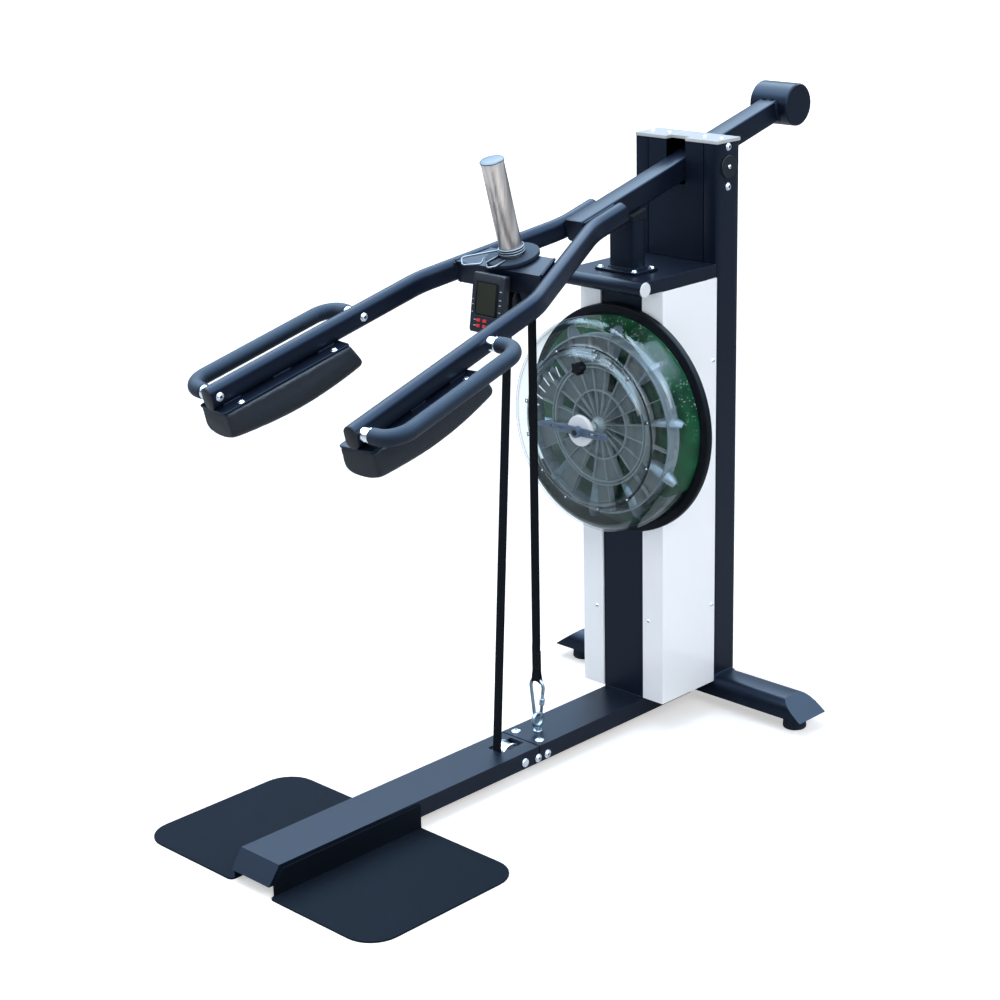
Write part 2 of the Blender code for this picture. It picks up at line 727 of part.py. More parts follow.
def build_uprights(machine):
    for side, name in ((-1, "upright_left"), (1, "upright_right")):
        at = (side * (UPRIGHT_OUTER - UPRIGHT_WIDTH / 2), UPRIGHT_FRONT + UPRIGHT_DEPTH / 2)
        outer = rounded(UPRIGHT_WIDTH, UPRIGHT_DEPTH, UPRIGHT_CORNER, 3, at)
        inner = rounded(UPRIGHT_WIDTH - 2 * UPRIGHT_WALL, UPRIGHT_DEPTH - 2 * UPRIGHT_WALL,
                        UPRIGHT_CORNER - UPRIGHT_WALL, 3, at)
        post = piece(name, pipe(outer, inner, "Z", FOOT_TOP - FOOT_DROP, UPRIGHT_TOP),
                     "black_paint", machine)
        saddle = prism(foot_section(GAP), "X", side * (UPRIGHT_INNER - OVER), side * (UPRIGHT_OUTER + OVER))
        cut(post, saddle, rod(BEARING_RADIUS + GAP, "X", side * (UPRIGHT_INNER - OVER),
                              side * (UPRIGHT_OUTER + OVER), 28, (PIVOT_Y, PIVOT_Z)))


def build_side_panels(machine):
    """Glossy folded sheets: return, front strip, side and rear return."""
    front, sheet = -PANEL_PROUD, PANEL_SHEET
    rear = UPRIGHT_FRONT - GAP
    inner = COLUMN_WIDTH / 2 + GAP
    top = SHELF_TOP - SHELF_SKIRT - PANEL_TOP_GAP
    for side, name in ((-1, "side_panel_left"), (1, "side_panel_right")):
        outline = [(inner, PANEL_RETURN), (inner, front), (PANEL_REACH, front), (PANEL_REACH, rear),
                   (UPRIGHT_OUTER - UPRIGHT_LAP, rear), (UPRIGHT_OUTER - UPRIGHT_LAP, rear - sheet),
                   (PANEL_REACH - sheet, rear - sheet), (PANEL_REACH - sheet, front + sheet),
                   (inner + sheet, front + sheet), (inner + sheet, PANEL_RETURN)]
        panel = piece(name, prism([(side * x, y) for x, y in outline], "Z", PANEL_BOTTOM, top),
                      "white_panel", machine)
        cut(panel, prism(foot_section(GAP), "X", side * inner, side * (PANEL_REACH + OVER)))


def arm_underside(y):
    """Height of the resting arm's underside above the floor, at a place along the machine."""
    return PIVOT_Z - ARM_HALF / cos(LEVER_SLOPE) - (PIVOT_Y - y) * tan(LEVER_SLOPE)


def build_covers(machine):
    """Dark sheets between the uprights: the upper one in front, and one over the whole back."""
    width = 2 * (UPRIGHT_INNER - GAP)
    arm_low = arm_underside(UPRIGHT_FRONT)
    sheets = (("upper_panel", UPRIGHT_FRONT + GAP, SHELF_TOP + GAP, arm_low - SLOT_ROOM_FRONT),
              ("back_panel", UPRIGHT_REAR - COVER_SHEET, FOOT_TOP + 0.004, PIVOT_Z - SLOT_ROOM_BACK))
    for name, face, low, slot_low in sheets:
        front, back = face, face + COVER_SHEET - GAP
        outline = rectangle(width, UPRIGHT_TOP - low, (0, (UPRIGHT_TOP + low) / 2))
        cover = piece(name, prism(outline, "Y", front, back), "black_paint", machine)
        slot = rectangle(ARM_SLOT, 2 * (UPRIGHT_TOP - slot_low), (0, UPRIGHT_TOP))
        cut(cover, prism(slot, "Y", front - OVER, back + OVER))


def build_top_plate(machine):
    width = 2 * (UPRIGHT_OUTER + 0.001)
    front, rear = UPRIGHT_FRONT - 0.001, UPRIGHT_REAR + TOP_OVERHANG
    plate = piece("top_plate", prism(rounded(width, rear - front, 0.003, 2, (0, (front + rear) / 2)),
                                     "Z", TOP_Z, TOP_Z + TOP_SHEET), "white_plastic", machine)
    cut(plate, prism(rectangle(ARM_SLOT, 2 * NOTCH_DEPTH, (0, front)), "Z", TOP_Z - OVER, TOP_Z + 2 * OVER))


def build_shelf(machine):
    """Sheet with its sides turned down, its front edge rolled round a tube."""
    half = UPRIGHT_OUTER
    rear = UPRIGHT_FRONT - GAP
    centre = (SHELF_NOSE_Y, SHELF_TOP - SHELF_TUBE_RADIUS)
    depth, middle = rear - SHELF_NOSE_Y, (rear + SHELF_NOSE_Y) / 2
    top = rectangle(depth, SHELF_SHEET, (middle, SHELF_TOP - SHELF_SHEET / 2))
    shelf = piece("shelf", prism(top, "X", -half, half), "black_paint", machine)
    drop = SHELF_SKIRT - WELD
    skirt = rectangle(depth, drop, (middle, SHELF_TOP - WELD - drop / 2))
    for side in (-1, 1):
        join(shelf, prism(skirt, "X", side * half, side * (half - SHELF_SHEET)))
    join(shelf, rod(SHELF_TUBE_RADIUS, "X", -half, half, 24, centre))
    cut(shelf, rod(SHELF_TUBE_RADIUS - SHELF_SHEET, "X", -half - OVER, half + OVER, 24, centre))
    for side, name in ((-1, "shelf_cap_left"), (1, "shelf_cap_right")):
        inner = SHELF_TUBE_RADIUS - SHELF_SHEET - GAP
        face = half + GAP
        outside, plug = face + CAP_THICKNESS, face - CAP_PLUG
        profile = [(0, outside), (CAP_RADIUS - 0.002, outside), (CAP_RADIUS, face + 0.001),
                   (CAP_RADIUS, face), (inner, face), (inner, plug), (0, plug)]
        piece(name, turned([(r, side * x) for r, x in profile], "X", 20, (0, *centre)),
              "white_plastic", machine)


def build_stop(machine):
    low = SHELF_TOP + GAP
    foot = low + POST_PLATE_SHEET
    post = piece("stop_post", prism(rounded(POST_PLATE_WIDTH, POST_PLATE_DEPTH, 0.004, 2, (0, POST_PLATE_Y)),
                                    "Z", low, foot), "black_paint", machine)
    join(post, pipe(rounded(POST_WIDTH, POST_DEPTH, 0.006, 3, (0, POST_Y)),
                    rounded(POST_WIDTH - 2 * POST_WALL, POST_DEPTH - 2 * POST_WALL, 0.003, 3, (0, POST_Y)),
                    "Z", low + WELD, POST_TOP))
    half = POST_WIDTH / 2 + BUMPER_LIP
    front, rear = POST_Y - POST_DEPTH / 2 - BUMPER_LIP, POST_Y + POST_DEPTH / 2 + BUMPER_LIP
    block = [(front, POST_TOP + GAP), (rear, POST_TOP + GAP), (rear, arm_underside(rear) - RUN),
             (front, arm_underside(front) - RUN)]
    bumper = piece("bumper", prism(block, "X", -half, half), "rubber", machine)
    inset = 2 * (POST_WALL + GAP)
    plug = rounded(POST_WIDTH - inset, POST_DEPTH - inset, 0.003 - GAP, 3, (0, POST_Y))
    join(bumper, prism(plug, "Z", POST_TOP - BUMPER_PLUG, POST_TOP + 2 * WELD))


def build_bearings(machine):
    """Flanged housings through the uprights, closed outside by a cap."""
    for side, name in ((-1, "pivot_bearing_left"), (1, "pivot_bearing_right")):
        inside = UPRIGHT_INNER - 0.004
        face = UPRIGHT_OUTER + GAP
        bore = AXLE_RADIUS + RUN
        outside = face + BEARING_CAP
        profile = [(bore, inside), (BEARING_RADIUS, inside), (BEARING_RADIUS, face),
                   (BEARING_CAP_RADIUS, face), (BEARING_CAP_RADIUS, outside - 0.001),
                   (BEARING_CAP_RADIUS - 0.001, outside), (0, outside), (0, face), (bore, face)]
        piece(name, turned([(r, side * x) for r, x in profile], "X", 20, (0, PIVOT_Y, PIVOT_Z)),
              "black_plastic", machine)


# Lever


def build_arm(lever):
    """Square tube, welded at its rear end into the solid counterweight."""
    rear = WEIGHT_REACH - WEIGHT_RADIUS * 0.6
    outer = rounded(ARM_SIZE, ARM_SIZE, ARM_CORNER, 3)
    inner = rounded(ARM_SIZE - 2 * ARM_WALL, ARM_SIZE - 2 * ARM_WALL, ARM_CORNER - ARM_WALL, 3)
    arm = piece("main_arm", pipe(outer, inner, "Y", -ARM_FRONT, rear), "black_paint", lever)
    edge = WEIGHT_EDGE
    half = WEIGHT_LENGTH / 2
    weight = turned([(0, -half), (WEIGHT_RADIUS - edge, -half), (WEIGHT_RADIUS, -half + edge),
                     (WEIGHT_RADIUS, half - edge), (WEIGHT_RADIUS - edge, half), (0, half)],
                    "X", 28, (0, WEIGHT_REACH, 0))
    join(arm, weight)
    cut(arm, rod(AXLE_RADIUS + GAP, "X", -0.05, 0.05, 24))
    axle = UPRIGHT_OUTER - RUN
    piece("pivot_axle", rod(AXLE_RADIUS, "X", -axle, axle, 24), "zinc", lever)


def tube_corners():
    """Corners of a side tube's centre line, as (out, forward)."""
    return [(TUBE_IN, TUBE_REAR), (TUBE_IN, TUBE_FIRST_BEND),
            (TUBE_SECOND_OUT, TUBE_SECOND_BEND), (TUBE_FRONT_OUT, TUBE_FRONT)]


def tube_out(forward):
    """The side tube's centre line, at a place forward of its second bend."""
    share = (forward - TUBE_SECOND_BEND) / (TUBE_FRONT - TUBE_SECOND_BEND)
    return TUBE_SECOND_OUT + share * (TUBE_FRONT_OUT - TUBE_SECOND_OUT)


FLARE = atan((TUBE_FRONT_OUT - TUBE_SECOND_OUT) / (TUBE_FRONT - TUBE_SECOND_BEND))
SPLAY = atan((TUBE_SECOND_OUT - TUBE_IN) / (TUBE_SECOND_BEND - TUBE_FIRST_BEND))


def beside_tube(forward, out, rise=0.0):
    """A point measured square off the side tube's front stretch, on the right-hand tube."""
    return Vector((tube_out(forward) + out * cos(FLARE), -forward + out * sin(FLARE), rise))


def mirrored(points, side):
    return [Vector((side * p[0], p[1], p[2])) for p in points]


def build_side_tubes(lever):
    for side, name in ((-1, "side_tube_left"), (1, "side_tube_right")):
        line = [(x, -s, 0) for x, s in tube_corners()]
        path = mirrored(rounded_path(line, TUBE_BEND_RADIUS, 4), side)
        section = stadium(TUBE_WIDTH, ARM_SIZE, 6)
        bore = stadium(TUBE_WIDTH - 2 * TUBE_WALL, ARM_SIZE - 2 * TUBE_WALL, 4)
        tube = piece(name, swept(path, section, ACROSS), "black_paint", lever)
        hollow = list(path)
        hollow[0] = path[0] + (path[1] - path[0]).normalized() * END_PLUG
        hollow[-1] = path[-1] + (path[-2] - path[-1]).normalized() * END_PLUG
        cut(tube, swept(hollow, bore, ACROSS))
        for forward in (HANDLE_REAR, HANDLE_FRONT):
            ends = mirrored([beside_tube(forward, -0.03), beside_tube(forward, 0.03)], side)
            cut(tube, swept(ends, circle(BOLT_RADIUS + GAP, 10), UPRIGHT))
        low, high = -ARM_HALF - PAD_SEAT_SHEET, -ARM_HALF + 0.001
        half = SHOULDER_PAD_WIDTH / 2 - 0.006
        corners = [(SHOULDER_PAD_REAR + 0.004, -half), (SHOULDER_PAD_REAR + 0.004, half),
                   (SHOULDER_PAD_FRONT, half), (SHOULDER_PAD_FRONT, -half)]
        seat = [beside_tube(s, out) for s, out in corners]
        join(tube, prism([(side * p.x, p.y) for p in seat], "Z", low, high))


def build_handles(lever):
    """Bent rods bolted to the tubes' outer sides, each with a collar at both ends and a foam sleeve."""
    for side, hand in ((-1, "left"), (1, "right")):
        start = TUBE_WIDTH / 2 + GAP
        weld = start + RING_LENGTH / 2
        line = [beside_tube(HANDLE_FRONT, weld), beside_tube(HANDLE_FRONT, HANDLE_REACH),
                beside_tube(HANDLE_REAR, HANDLE_REACH), beside_tube(HANDLE_REAR, weld)]
        path = mirrored(rounded_path(line, HANDLE_BEND, 4), side)
        rod_piece = piece(f"handle_{hand}", swept(path, circle(ROD_RADIUS, 10), UPRIGHT),
                          "chrome", lever)
        for forward in (HANDLE_FRONT, HANDLE_REAR):
            ends = mirrored([beside_tube(forward, start), beside_tube(forward, start + RING_LENGTH)], side)
            join(rod_piece, swept(ends, circle(RING_RADIUS, 12), UPRIGHT))
        cover = [beside_tube(HANDLE_FRONT, start + RING_LENGTH + GAP)] + line[1:3]
        cover += [beside_tube(HANDLE_REAR, start + RING_LENGTH + GAP)]
        sleeve = mirrored(rounded_path(cover, HANDLE_BEND, 4), side)
        outer = swept(sleeve, circle(GRIP_RADIUS, 12), UPRIGHT)
        grip = piece(f"grip_{hand}", outer, "foam", lever)
        longer = [beside_tube(HANDLE_FRONT, start), *line[1:3], beside_tube(HANDLE_REAR, start)]
        cut(grip, swept(mirrored(rounded_path(longer, HANDLE_BEND, 4), side),
                        circle((ROD_RADIUS + GAP) / cos(pi / 10), 10), UPRIGHT))


def pad_section(width, depth, corner):
    """A cushion in cross-section: flat above, crowned below, its sides drawn in a little towards the seat."""
    half = width / 2
    crown, waist = 0.004, 0.003
    points = [(-half + waist + 0.004, 0), (half - waist - 0.004, 0), (half - waist, -0.005),
              (half - waist * 0.3, -depth * 0.4), (half, -(depth - crown - corner))]
    points += arc((half - corner, -(depth - crown - corner)), corner, 0, -pi / 2, 5)[1:]
    points += [(half * 0.30, -depth + crown * 0.25), (0, -depth), (-half * 0.30, -depth + crown * 0.25)]
    points += arc((corner - half, -(depth - crown - corner)), corner, -pi / 2, -pi, 5)
    points += [(waist * 0.3 - half, -depth * 0.4), (waist - half, -0.005)]
    return points


def build_shoulder_pads(lever):
    """Cushions under the seat plates: crowned along and across, their edges drawn in, raked at the rear."""
    top = -ARM_HALF - PAD_SEAT_SHEET - GAP
    length = SHOULDER_PAD_FRONT - SHOULDER_PAD_REAR
    ends = ((0.0, 0.006, 0.012), (0.003, 0.002, 0.004), (0.010, 0.0, 0.0))
    stations = list(ends) + [(length * k / 6, 0, 0) for k in range(1, 6)]
    stations += [(length - along, 0.6 * narrow, 0.6 * shallow) for along, narrow, shallow in reversed(ends)]
    for side, name in ((-1, "shoulder_pad_left"), (1, "shoulder_pad_right")):
        rings = []
        for along, narrow, shallow in stations:
            crown = sin(pi * along / length)
            section = pad_section(SHOULDER_PAD_WIDTH + 2 * (SHOULDER_PAD_SWELL * crown - narrow),
                                  SHOULDER_PAD_DEPTH + SHOULDER_PAD_BELLY * crown - shallow,
                                  SHOULDER_PAD_ROUND)
            ring = []
            for out, drop in section:
                rake = SHOULDER_PAD_RAKE * (-drop / SHOULDER_PAD_DEPTH) * (1 - along / length)
                ring.append(beside_tube(SHOULDER_PAD_REAR + along - rake, out, top + drop))
            rings.append(mirrored(ring, side))
        piece(name, skin(rings), "vinyl", lever)


def crossbar_end(forward):
    """Inner face of the right-hand side tube at the crossbar, less the gap."""
    centre = TUBE_IN + (forward - TUBE_FIRST_BEND) * tan(SPLAY)
    return centre - (TUBE_WIDTH / 2 + GAP) / cos(SPLAY)


def build_crossbar(lever):
    """Box between the side tubes, with the upper pulley's fork below and the monitor's tongue in front."""
    rear, front = crossbar_end(CROSSBAR_REAR), crossbar_end(CROSSBAR_FRONT)
    outline = [(-rear, -CROSSBAR_REAR), (-front, -CROSSBAR_FRONT),
               (front, -CROSSBAR_FRONT), (rear, -CROSSBAR_REAR)]
    bar = piece("crossbar", prism(outline, "Z", -ARM_HALF, ARM_HALF), "black_paint", lever)
    middle = -(CROSSBAR_REAR + CROSSBAR_FRONT) / 2
    depth = CROSSBAR_FRONT - CROSSBAR_REAR
    cut(bar, prism(rectangle(depth - 2 * CROSSBAR_WALL, ARM_SIZE - 2 * CROSSBAR_WALL, (middle, 0)),
                   "X", -0.3, 0.3))
    ear_in = PULLEY_WIDTH / 2 + RUN
    low = -UPPER_PULLEY_DROP
    for side in (-1, 1):
        ear = [(-UPPER_PULLEY_REACH - EAR_WIDTH / 2, -ARM_HALF + 0.001)]
        ear += [(-UPPER_PULLEY_REACH + y, low + z) for y, z in arc((0, 0), EAR_WIDTH / 2, pi, 2 * pi, 8)]
        ear += [(-UPPER_PULLEY_REACH + EAR_WIDTH / 2, -ARM_HALF + 0.001)]
        join(bar, prism(ear, "X", side * ear_in, side * (ear_in + EAR_SHEET)))
    join(bar, rod(PIN_RADIUS, "X", -ear_in - EAR_SHEET - 0.003, ear_in + EAR_SHEET + 0.003, 16,
                  (-UPPER_PULLEY_REACH, low)))
    join(bar, monitor_tongue())


def monitor_point(along_face, depth):
    """A point on the monitor in the lever's (y, z): down its face from the top, and back into it."""
    y = -MONITOR_TOP_REACH - along_face * sin(MONITOR_TILT) + depth * cos(MONITOR_TILT)
    z = MONITOR_TOP_RISE - along_face * cos(MONITOR_TILT) - depth * sin(MONITOR_TILT)
    return y, z


def monitor_tongue():
    """Bracket from the crossbar's front face to the monitor's back."""
    back = MONITOR_DEPTH + GAP
    high, low = TONGUE_SPAN
    foot = WELD - CROSSBAR_FRONT
    outline = [monitor_point(high, back), monitor_point(low, back),
               (foot, monitor_point(low, back)[1] + 0.004), (foot, ARM_HALF / 2)]
    return prism(outline, "X", -TONGUE_HALF, TONGUE_HALF)


def set_on_monitor(shape):
    """Turns a shape made flat, with x across, y down the face and z out of it, into the monitor's place."""
    y, z = monitor_point(0, 0)
    down = Vector((0, -sin(MONITOR_TILT), -cos(MONITOR_TILT)))
    out = Vector((0, -cos(MONITOR_TILT), sin(MONITOR_TILT)))
    place = Matrix(((1, 0, 0, 0), (0, down.y, out.y, y), (0, down.z, out.z, z), (0, 0, 0, 1)))
    bmesh.ops.transform(shape, matrix=place, verts=shape.verts)
    return shape


def build_monitor(lever):
    middle = MONITOR_HEIGHT / 2
    depth = MONITOR_DEPTH
    rings = []
    for z, inset in ((-depth, 0.006), (-depth + 0.004, 0.001), (-0.004, 0.0), (-0.001, 0.0012), (0, 0.004)):
        corner = MONITOR_CORNER
        rings.append([(x, y, z) for x, y in rounded(MONITOR_WIDTH - 2 * inset, MONITOR_HEIGHT - 2 * inset,
                                                    corner, 3, (0, middle))])
    case = piece("monitor_case", set_on_monitor(skin(rings)), "black_plastic", lever)
    lens_y = LENS_DROP + LENS_HEIGHT / 2
    cut(case, set_on_monitor(prism(rectangle(LENS_WIDTH + 2 * GAP, LENS_HEIGHT + 2 * GAP, (0, lens_y)),
                                   "Z", -LENS_SHEET - GAP, OVER)))
    piece("monitor_lens", set_on_monitor(prism(rounded(LENS_WIDTH, LENS_HEIGHT, 0.002, 2, (0, lens_y)),
                                               "Z", -LENS_SHEET, -0.0004)), "screen", lever)
    low = LENS_DROP + LENS_HEIGHT
    for number, (x, y) in enumerate((x, low + row) for row in BUTTON_ROWS for x in BUTTON_COLUMNS):
        cut(case, set_on_monitor(prism(rectangle(BUTTON_WIDTH + 2 * GAP, BUTTON_HEIGHT + 2 * GAP, (x, y)),
                                       "Z", -BUTTON_DEPTH - BUTTON_TRAVEL - RUN, OVER)))
        button = prism(rounded(BUTTON_WIDTH, BUTTON_HEIGHT, 0.0015, 2, (x, y)),
                       "Z", -BUTTON_DEPTH, BUTTON_PROUD)
        piece(f"monitor_button_{number + 1}", set_on_monitor(button), "red_plastic", lever)


def build_weight_post(lever):
    low = ARM_HALF + GAP
    r = WEIGHT_POST_RADIUS
    reach = -WEIGHT_POST_REACH
    top = WEIGHT_POST_TOP
    bore = r - WEIGHT_POST_WALL
    piece("weight_post", turned([(bore, low), (r, low), (r, top), (bore, top)], "Z", 24, (0, reach, 0)),
          "brushed_steel", lever)
    cap = [(0, top + GAP + POST_CAP_SHEET), (POST_CAP_RADIUS - 0.002, top + GAP + POST_CAP_SHEET),
           (POST_CAP_RADIUS, top + GAP + POST_CAP_SHEET - 0.0015), (POST_CAP_RADIUS, top + GAP),
           (bore - GAP, top + GAP), (bore - GAP, top - 0.016), (0, top - 0.016)]
    piece("post_cap", turned(cap, "Z", 24, (0, reach, 0)), "black_plastic", lever)
    disc = [(r + GAP, low), (DISC_RADIUS - 0.002, low), (DISC_RADIUS, low + 0.002),
            (DISC_RADIUS, low + DISC_THICKNESS - 0.002), (DISC_RADIUS - 0.002, low + DISC_THICKNESS),
            (r + GAP, low + DISC_THICKNESS)]
    piece("weight_disc", turned(disc, "Z", 28, (0, reach, 0)), "rubber", lever)


def collar_path():
    """Centre line of the spring collar: a short handle on the disc, the coil, then a long handle."""
    radius = WEIGHT_POST_RADIUS + GAP + COLLAR_WIRE + COLLAR_PLAY
    low = ARM_HALF + GAP + DISC_THICKNESS + COLLAR_WIRE + GAP
    first = COLLAR_START
    sweep = COLLAR_SHORTFALL - 2 * pi * COLLAR_TURNS
    steps = round(24 * COLLAR_TURNS)
    coil = [(radius * cos(first + sweep * k / steps), radius * sin(first + sweep * k / steps),
             low + COLLAR_RISE * k / steps) for k in range(steps + 1)]
    high = low + COLLAR_RISE
    short = [(0.012, -0.036, low), (0.013, -0.066, low), (0.001, -0.080, low), (-0.022, -0.060, low),
             (-0.021, -0.040, low), coil[0]]
    long = [coil[-1], (-0.072, -0.080, high - 0.001), (-0.050, -0.101, high - 0.006),
            (-0.014, -0.080, high - 0.008), (-0.027, -0.058, high - 0.006)]
    head = rounded_path(short, COLLAR_BEND, 3)
    tail = rounded_path(long, COLLAR_BEND, 3)
    return head + [Vector(p) for p in coil[1:-1]] + tail


def own_gap(path, radius, apart):
    """Least distance between stretches of a round tube that lie more than `apart` points from each other."""
    least = min((a - b).length for i, a in enumerate(path) for b in path[i + apart:])
    return least - 2 * radius


def build_collar(lever):
    path = collar_path()
    print(f"spring_collar: {COLLAR_TURNS} turns, least gap to itself "
          f"{1000 * own_gap(path, COLLAR_WIRE, 8):.2f} mm")
    middle = (0, -WEIGHT_POST_REACH, 0)
    piece("spring_collar", swept(path, circle(COLLAR_WIRE, 6), UPRIGHT), "chrome", lever, middle)


# Tank


def build_tank(machine):
    centre = (0, 0, TANK_Z)
    edge = 0.003
    bore = SHAFT_RADIUS + 0.014
    disc = [(bore, DISC_BACK), (TANK_DISC_RADIUS, DISC_BACK), (TANK_DISC_RADIUS, DISC_FRONT + edge),
            (TANK_DISC_RADIUS - edge, DISC_FRONT), (bore, DISC_FRONT)]
    piece("tank_back_disc", turned(disc, "Y", TANK_FACETS, centre), "black_plastic", machine)
    back = DISC_FRONT - GAP
    face, wall, shoulder = TANK_FACE, TANK_WALL, TANK_SHOULDER
    outer = [(TANK_RADIUS, back)]
    outer += arc((TANK_RADIUS - shoulder, face + shoulder), shoulder, 0, -pi / 2, 4)
    mouth, rim, bore = SEAM_RADIUS - SEAM_STEP, SEAM_RADIUS + 0.002, SHAFT_RADIUS + 0.004
    outer += [(rim + 0.004, face), (rim, face - SEAM_LIP), (mouth, face - SEAM_LIP)]
    inner = [(mouth, face + wall)]
    inner += arc((TANK_RADIUS - shoulder, face + shoulder), shoulder - wall, -pi / 2, 0, 3)
    inner += [(TANK_RADIUS - wall, back - wall), (bore, back - wall), (bore, back)]
    piece("tank_drum", turned(outer + inner, "Y", TANK_FACETS, centre), "clear", machine)
    lip = face - SEAM_LIP - GAP
    front, inside = COVER_FACE, COVER_FACE + COVER_WALL
    brow = SEAM_RADIUS - COVER_SLOPE
    cover = [(mouth, lip), (rim, lip), (rim, lip - 0.005), (SEAM_RADIUS - 0.004, lip - 0.007),
             (brow, front + 0.004), (brow - 0.006, front), (STEM_RADIUS + GAP, front),
             (STEM_RADIUS + GAP, inside), (brow - 0.006 - COVER_WALL * 0.6, inside),
             (mouth - COVER_WALL * 0.5, lip - 0.005)]
    shell = piece("tank_cover", turned(cover, "Y", TANK_FACETS, centre), "clear", machine)
    cut(shell, rod(PLUG_SHANK + RUN, "Y", front - OVER, inside + OVER, 20, (0, TANK_Z + PLUG_RISE)))
    seat = front - GAP
    level = seat - DIAL_THICKNESS
    tip = level - SELECTOR_SHEET - 0.003
    dial = [(STEM_RADIUS, STEM_END), (STEM_RADIUS, seat), (DIAL_RADIUS - 0.001, seat),
            (DIAL_RADIUS, seat - 0.001), (DIAL_RADIUS, level + 0.002), (DIAL_RADIUS - 0.003, level),
            (PIN_RADIUS, level), (PIN_RADIUS, tip), (0, tip), (0, STEM_END)]
    piece("tank_dial", turned(dial, "Y", 28, centre), "white_plastic", machine)
    build_selector(machine, level - GAP)
    build_plug(machine, front)


def build_selector(machine, seat):
    """Two-ended pointer on the dial's spigot, its long end to the left, with a slot in each arm."""
    h = SELECTOR_HEIGHT
    long_end, short_end = -SELECTOR_LONG, SELECTOR_SHORT
    outline = [(long_end, 0), (long_end + 0.012, -h * 0.35), (-0.028, -h / 2), (0.022, -h / 2),
               (short_end - 0.010, -h * 0.38), (short_end, -h * 0.20), (short_end, h * 0.20),
               (short_end - 0.010, h * 0.38), (0.022, h / 2), (-0.028, h / 2), (long_end + 0.012, h * 0.35)]
    selector = piece("selector_lever", prism(outline, "Y", seat - SELECTOR_SHEET, seat),
                     "black_plastic", machine, (0, 0, TANK_Z))
    face = seat - SELECTOR_SHEET
    join(selector, rod(SELECTOR_BOSS_RADIUS, "Y", face - SELECTOR_BOSS, seat - WELD, 20))
    cut(selector, rod(PIN_RADIUS + RUN, "Y", face - 0.0045, seat + OVER, 16))
    for start, end in ((-0.082, -0.042), (0.035, 0.065)):
        cut(selector, prism(rectangle(end - start, SELECTOR_SLOT, ((start + end) / 2, 0)),
                            "Y", face - OVER, seat + OVER))


def build_plug(machine, front):
    """Filler plug: a lobed knob on a shank through the cover."""
    seat = front - GAP
    steps = 8 * PLUG_LOBES
    outline = []
    for a in (2 * pi * i / steps for i in range(steps)):
        reach = PLUG_RADIUS - PLUG_LOBE * (1 - cos(PLUG_LOBES * a))
        outline.append((reach * cos(a), reach * sin(a)))
    knob = piece("fill_plug", prism(outline, "Y", seat - PLUG_HEIGHT, seat), "black_plastic", machine,
                 (0, 0, TANK_Z + PLUG_RISE))
    join(knob, rod(PLUG_SHANK, "Y", seat - 0.002, front + COVER_WALL + 0.003, 20))


def build_impeller(machine):
    """Shaft, hub, two stiffening rings and flat radial paddles."""
    hub = HUB_RADIUS
    shaft_end = BRACKET_Y + BRACKET_SHEET + 0.004
    body = [(0, STEM_END + 0.006), (0.012, STEM_END + 0.006), (hub, PADDLE_FRONT + 0.004), (hub, PADDLE_REAR),
            (SHAFT_RADIUS, PADDLE_REAR), (SHAFT_RADIUS, shaft_end), (0, shaft_end)]
    impeller = piece("impeller", turned(body, "Y", 20), "grey_plastic", machine, (0, 0, TANK_Z))
    ring = turned([(RING_INNER, PADDLE_FRONT + 0.006), (RING_OUTER, PADDLE_FRONT + 0.006),
                   (RING_OUTER, PADDLE_FRONT + 0.014), (RING_INNER, PADDLE_FRONT + 0.014)], "Y", 30)
    join(impeller, ring)
    for k in range(PADDLES):
        blade = bmesh.new()
        front, rear = PADDLE_FRONT, PADDLE_REAR
        outline = [(hub - 0.004, front + 0.020), (PADDLE_INNER, front + 0.008), (RING_INNER, front + 0.008),
                   (RING_OUTER + 0.012, front), (PADDLE_OUTER - 0.010, front), (PADDLE_OUTER, front + 0.014),
                   (PADDLE_OUTER, rear - 0.006), (PADDLE_OUTER - 0.010, rear), (RING_OUTER + 0.012, rear),
                   (RING_INNER, rear - 0.030), (PADDLE_INNER, rear - 0.020), (hub - 0.004, rear - 0.004)]
        prism(outline, "Z", -PADDLE_SHEET / 2, PADDLE_SHEET / 2, blade)
        turn = PADDLE_TURN + 2 * pi * k / PADDLES
        bmesh.ops.rotate(blade, verts=blade.verts, matrix=Matrix.Rotation(turn, 3, "Y"))
        join(impeller, blade)


def build_drive(machine):
    """Spool with its one-way clutch on the shaft, and the rewind spring's case behind it."""
    bore = SHAFT_RADIUS + RUN
    start = SPOOL_FRONT + SPOOL_SHEET
    end = start + SPOOL_WIDTH
    profile = [(bore, SPOOL_FRONT), (SPOOL_FLANGE, SPOOL_FRONT), (SPOOL_FLANGE, start), (SPOOL_RADIUS, start),
               (SPOOL_RADIUS, end), (SPOOL_FLANGE, end), (SPOOL_FLANGE, end + SPOOL_SHEET),
               (bore, end + SPOOL_SHEET)]
    piece("drive_spool", turned(profile, "Y", 24), "zinc", machine, (0, 0, TANK_Z))
    seat = CASE_Y
    deep = 0.012
    case = [(bore, seat), (CASE_RADIUS - 0.002, seat), (CASE_RADIUS, seat + 0.002),
            (CASE_RADIUS, seat + CASE_DEPTH - 0.004), (CASE_RADIUS - 0.004, seat + CASE_DEPTH),
            (0, seat + CASE_DEPTH), (0, seat + deep), (bore, seat + deep)]
    piece("rewind_case", turned(case, "Y", 24, (0, 0, TANK_Z)), "black_plastic", machine)


# Strap, pulleys and anchor


def pulley(name, groove, radius, bore, parent, place):
    half = PULLEY_WIDTH / 2
    lip = half - PULLEY_SIDE
    profile = [(bore, -half), (radius, -half), (radius, -lip - 0.0005), (groove, -lip), (groove, lip),
               (radius, lip + 0.0005), (radius, half), (bore, half)]
    return piece(name, turned(profile, "X", 24), "zinc", parent, place)


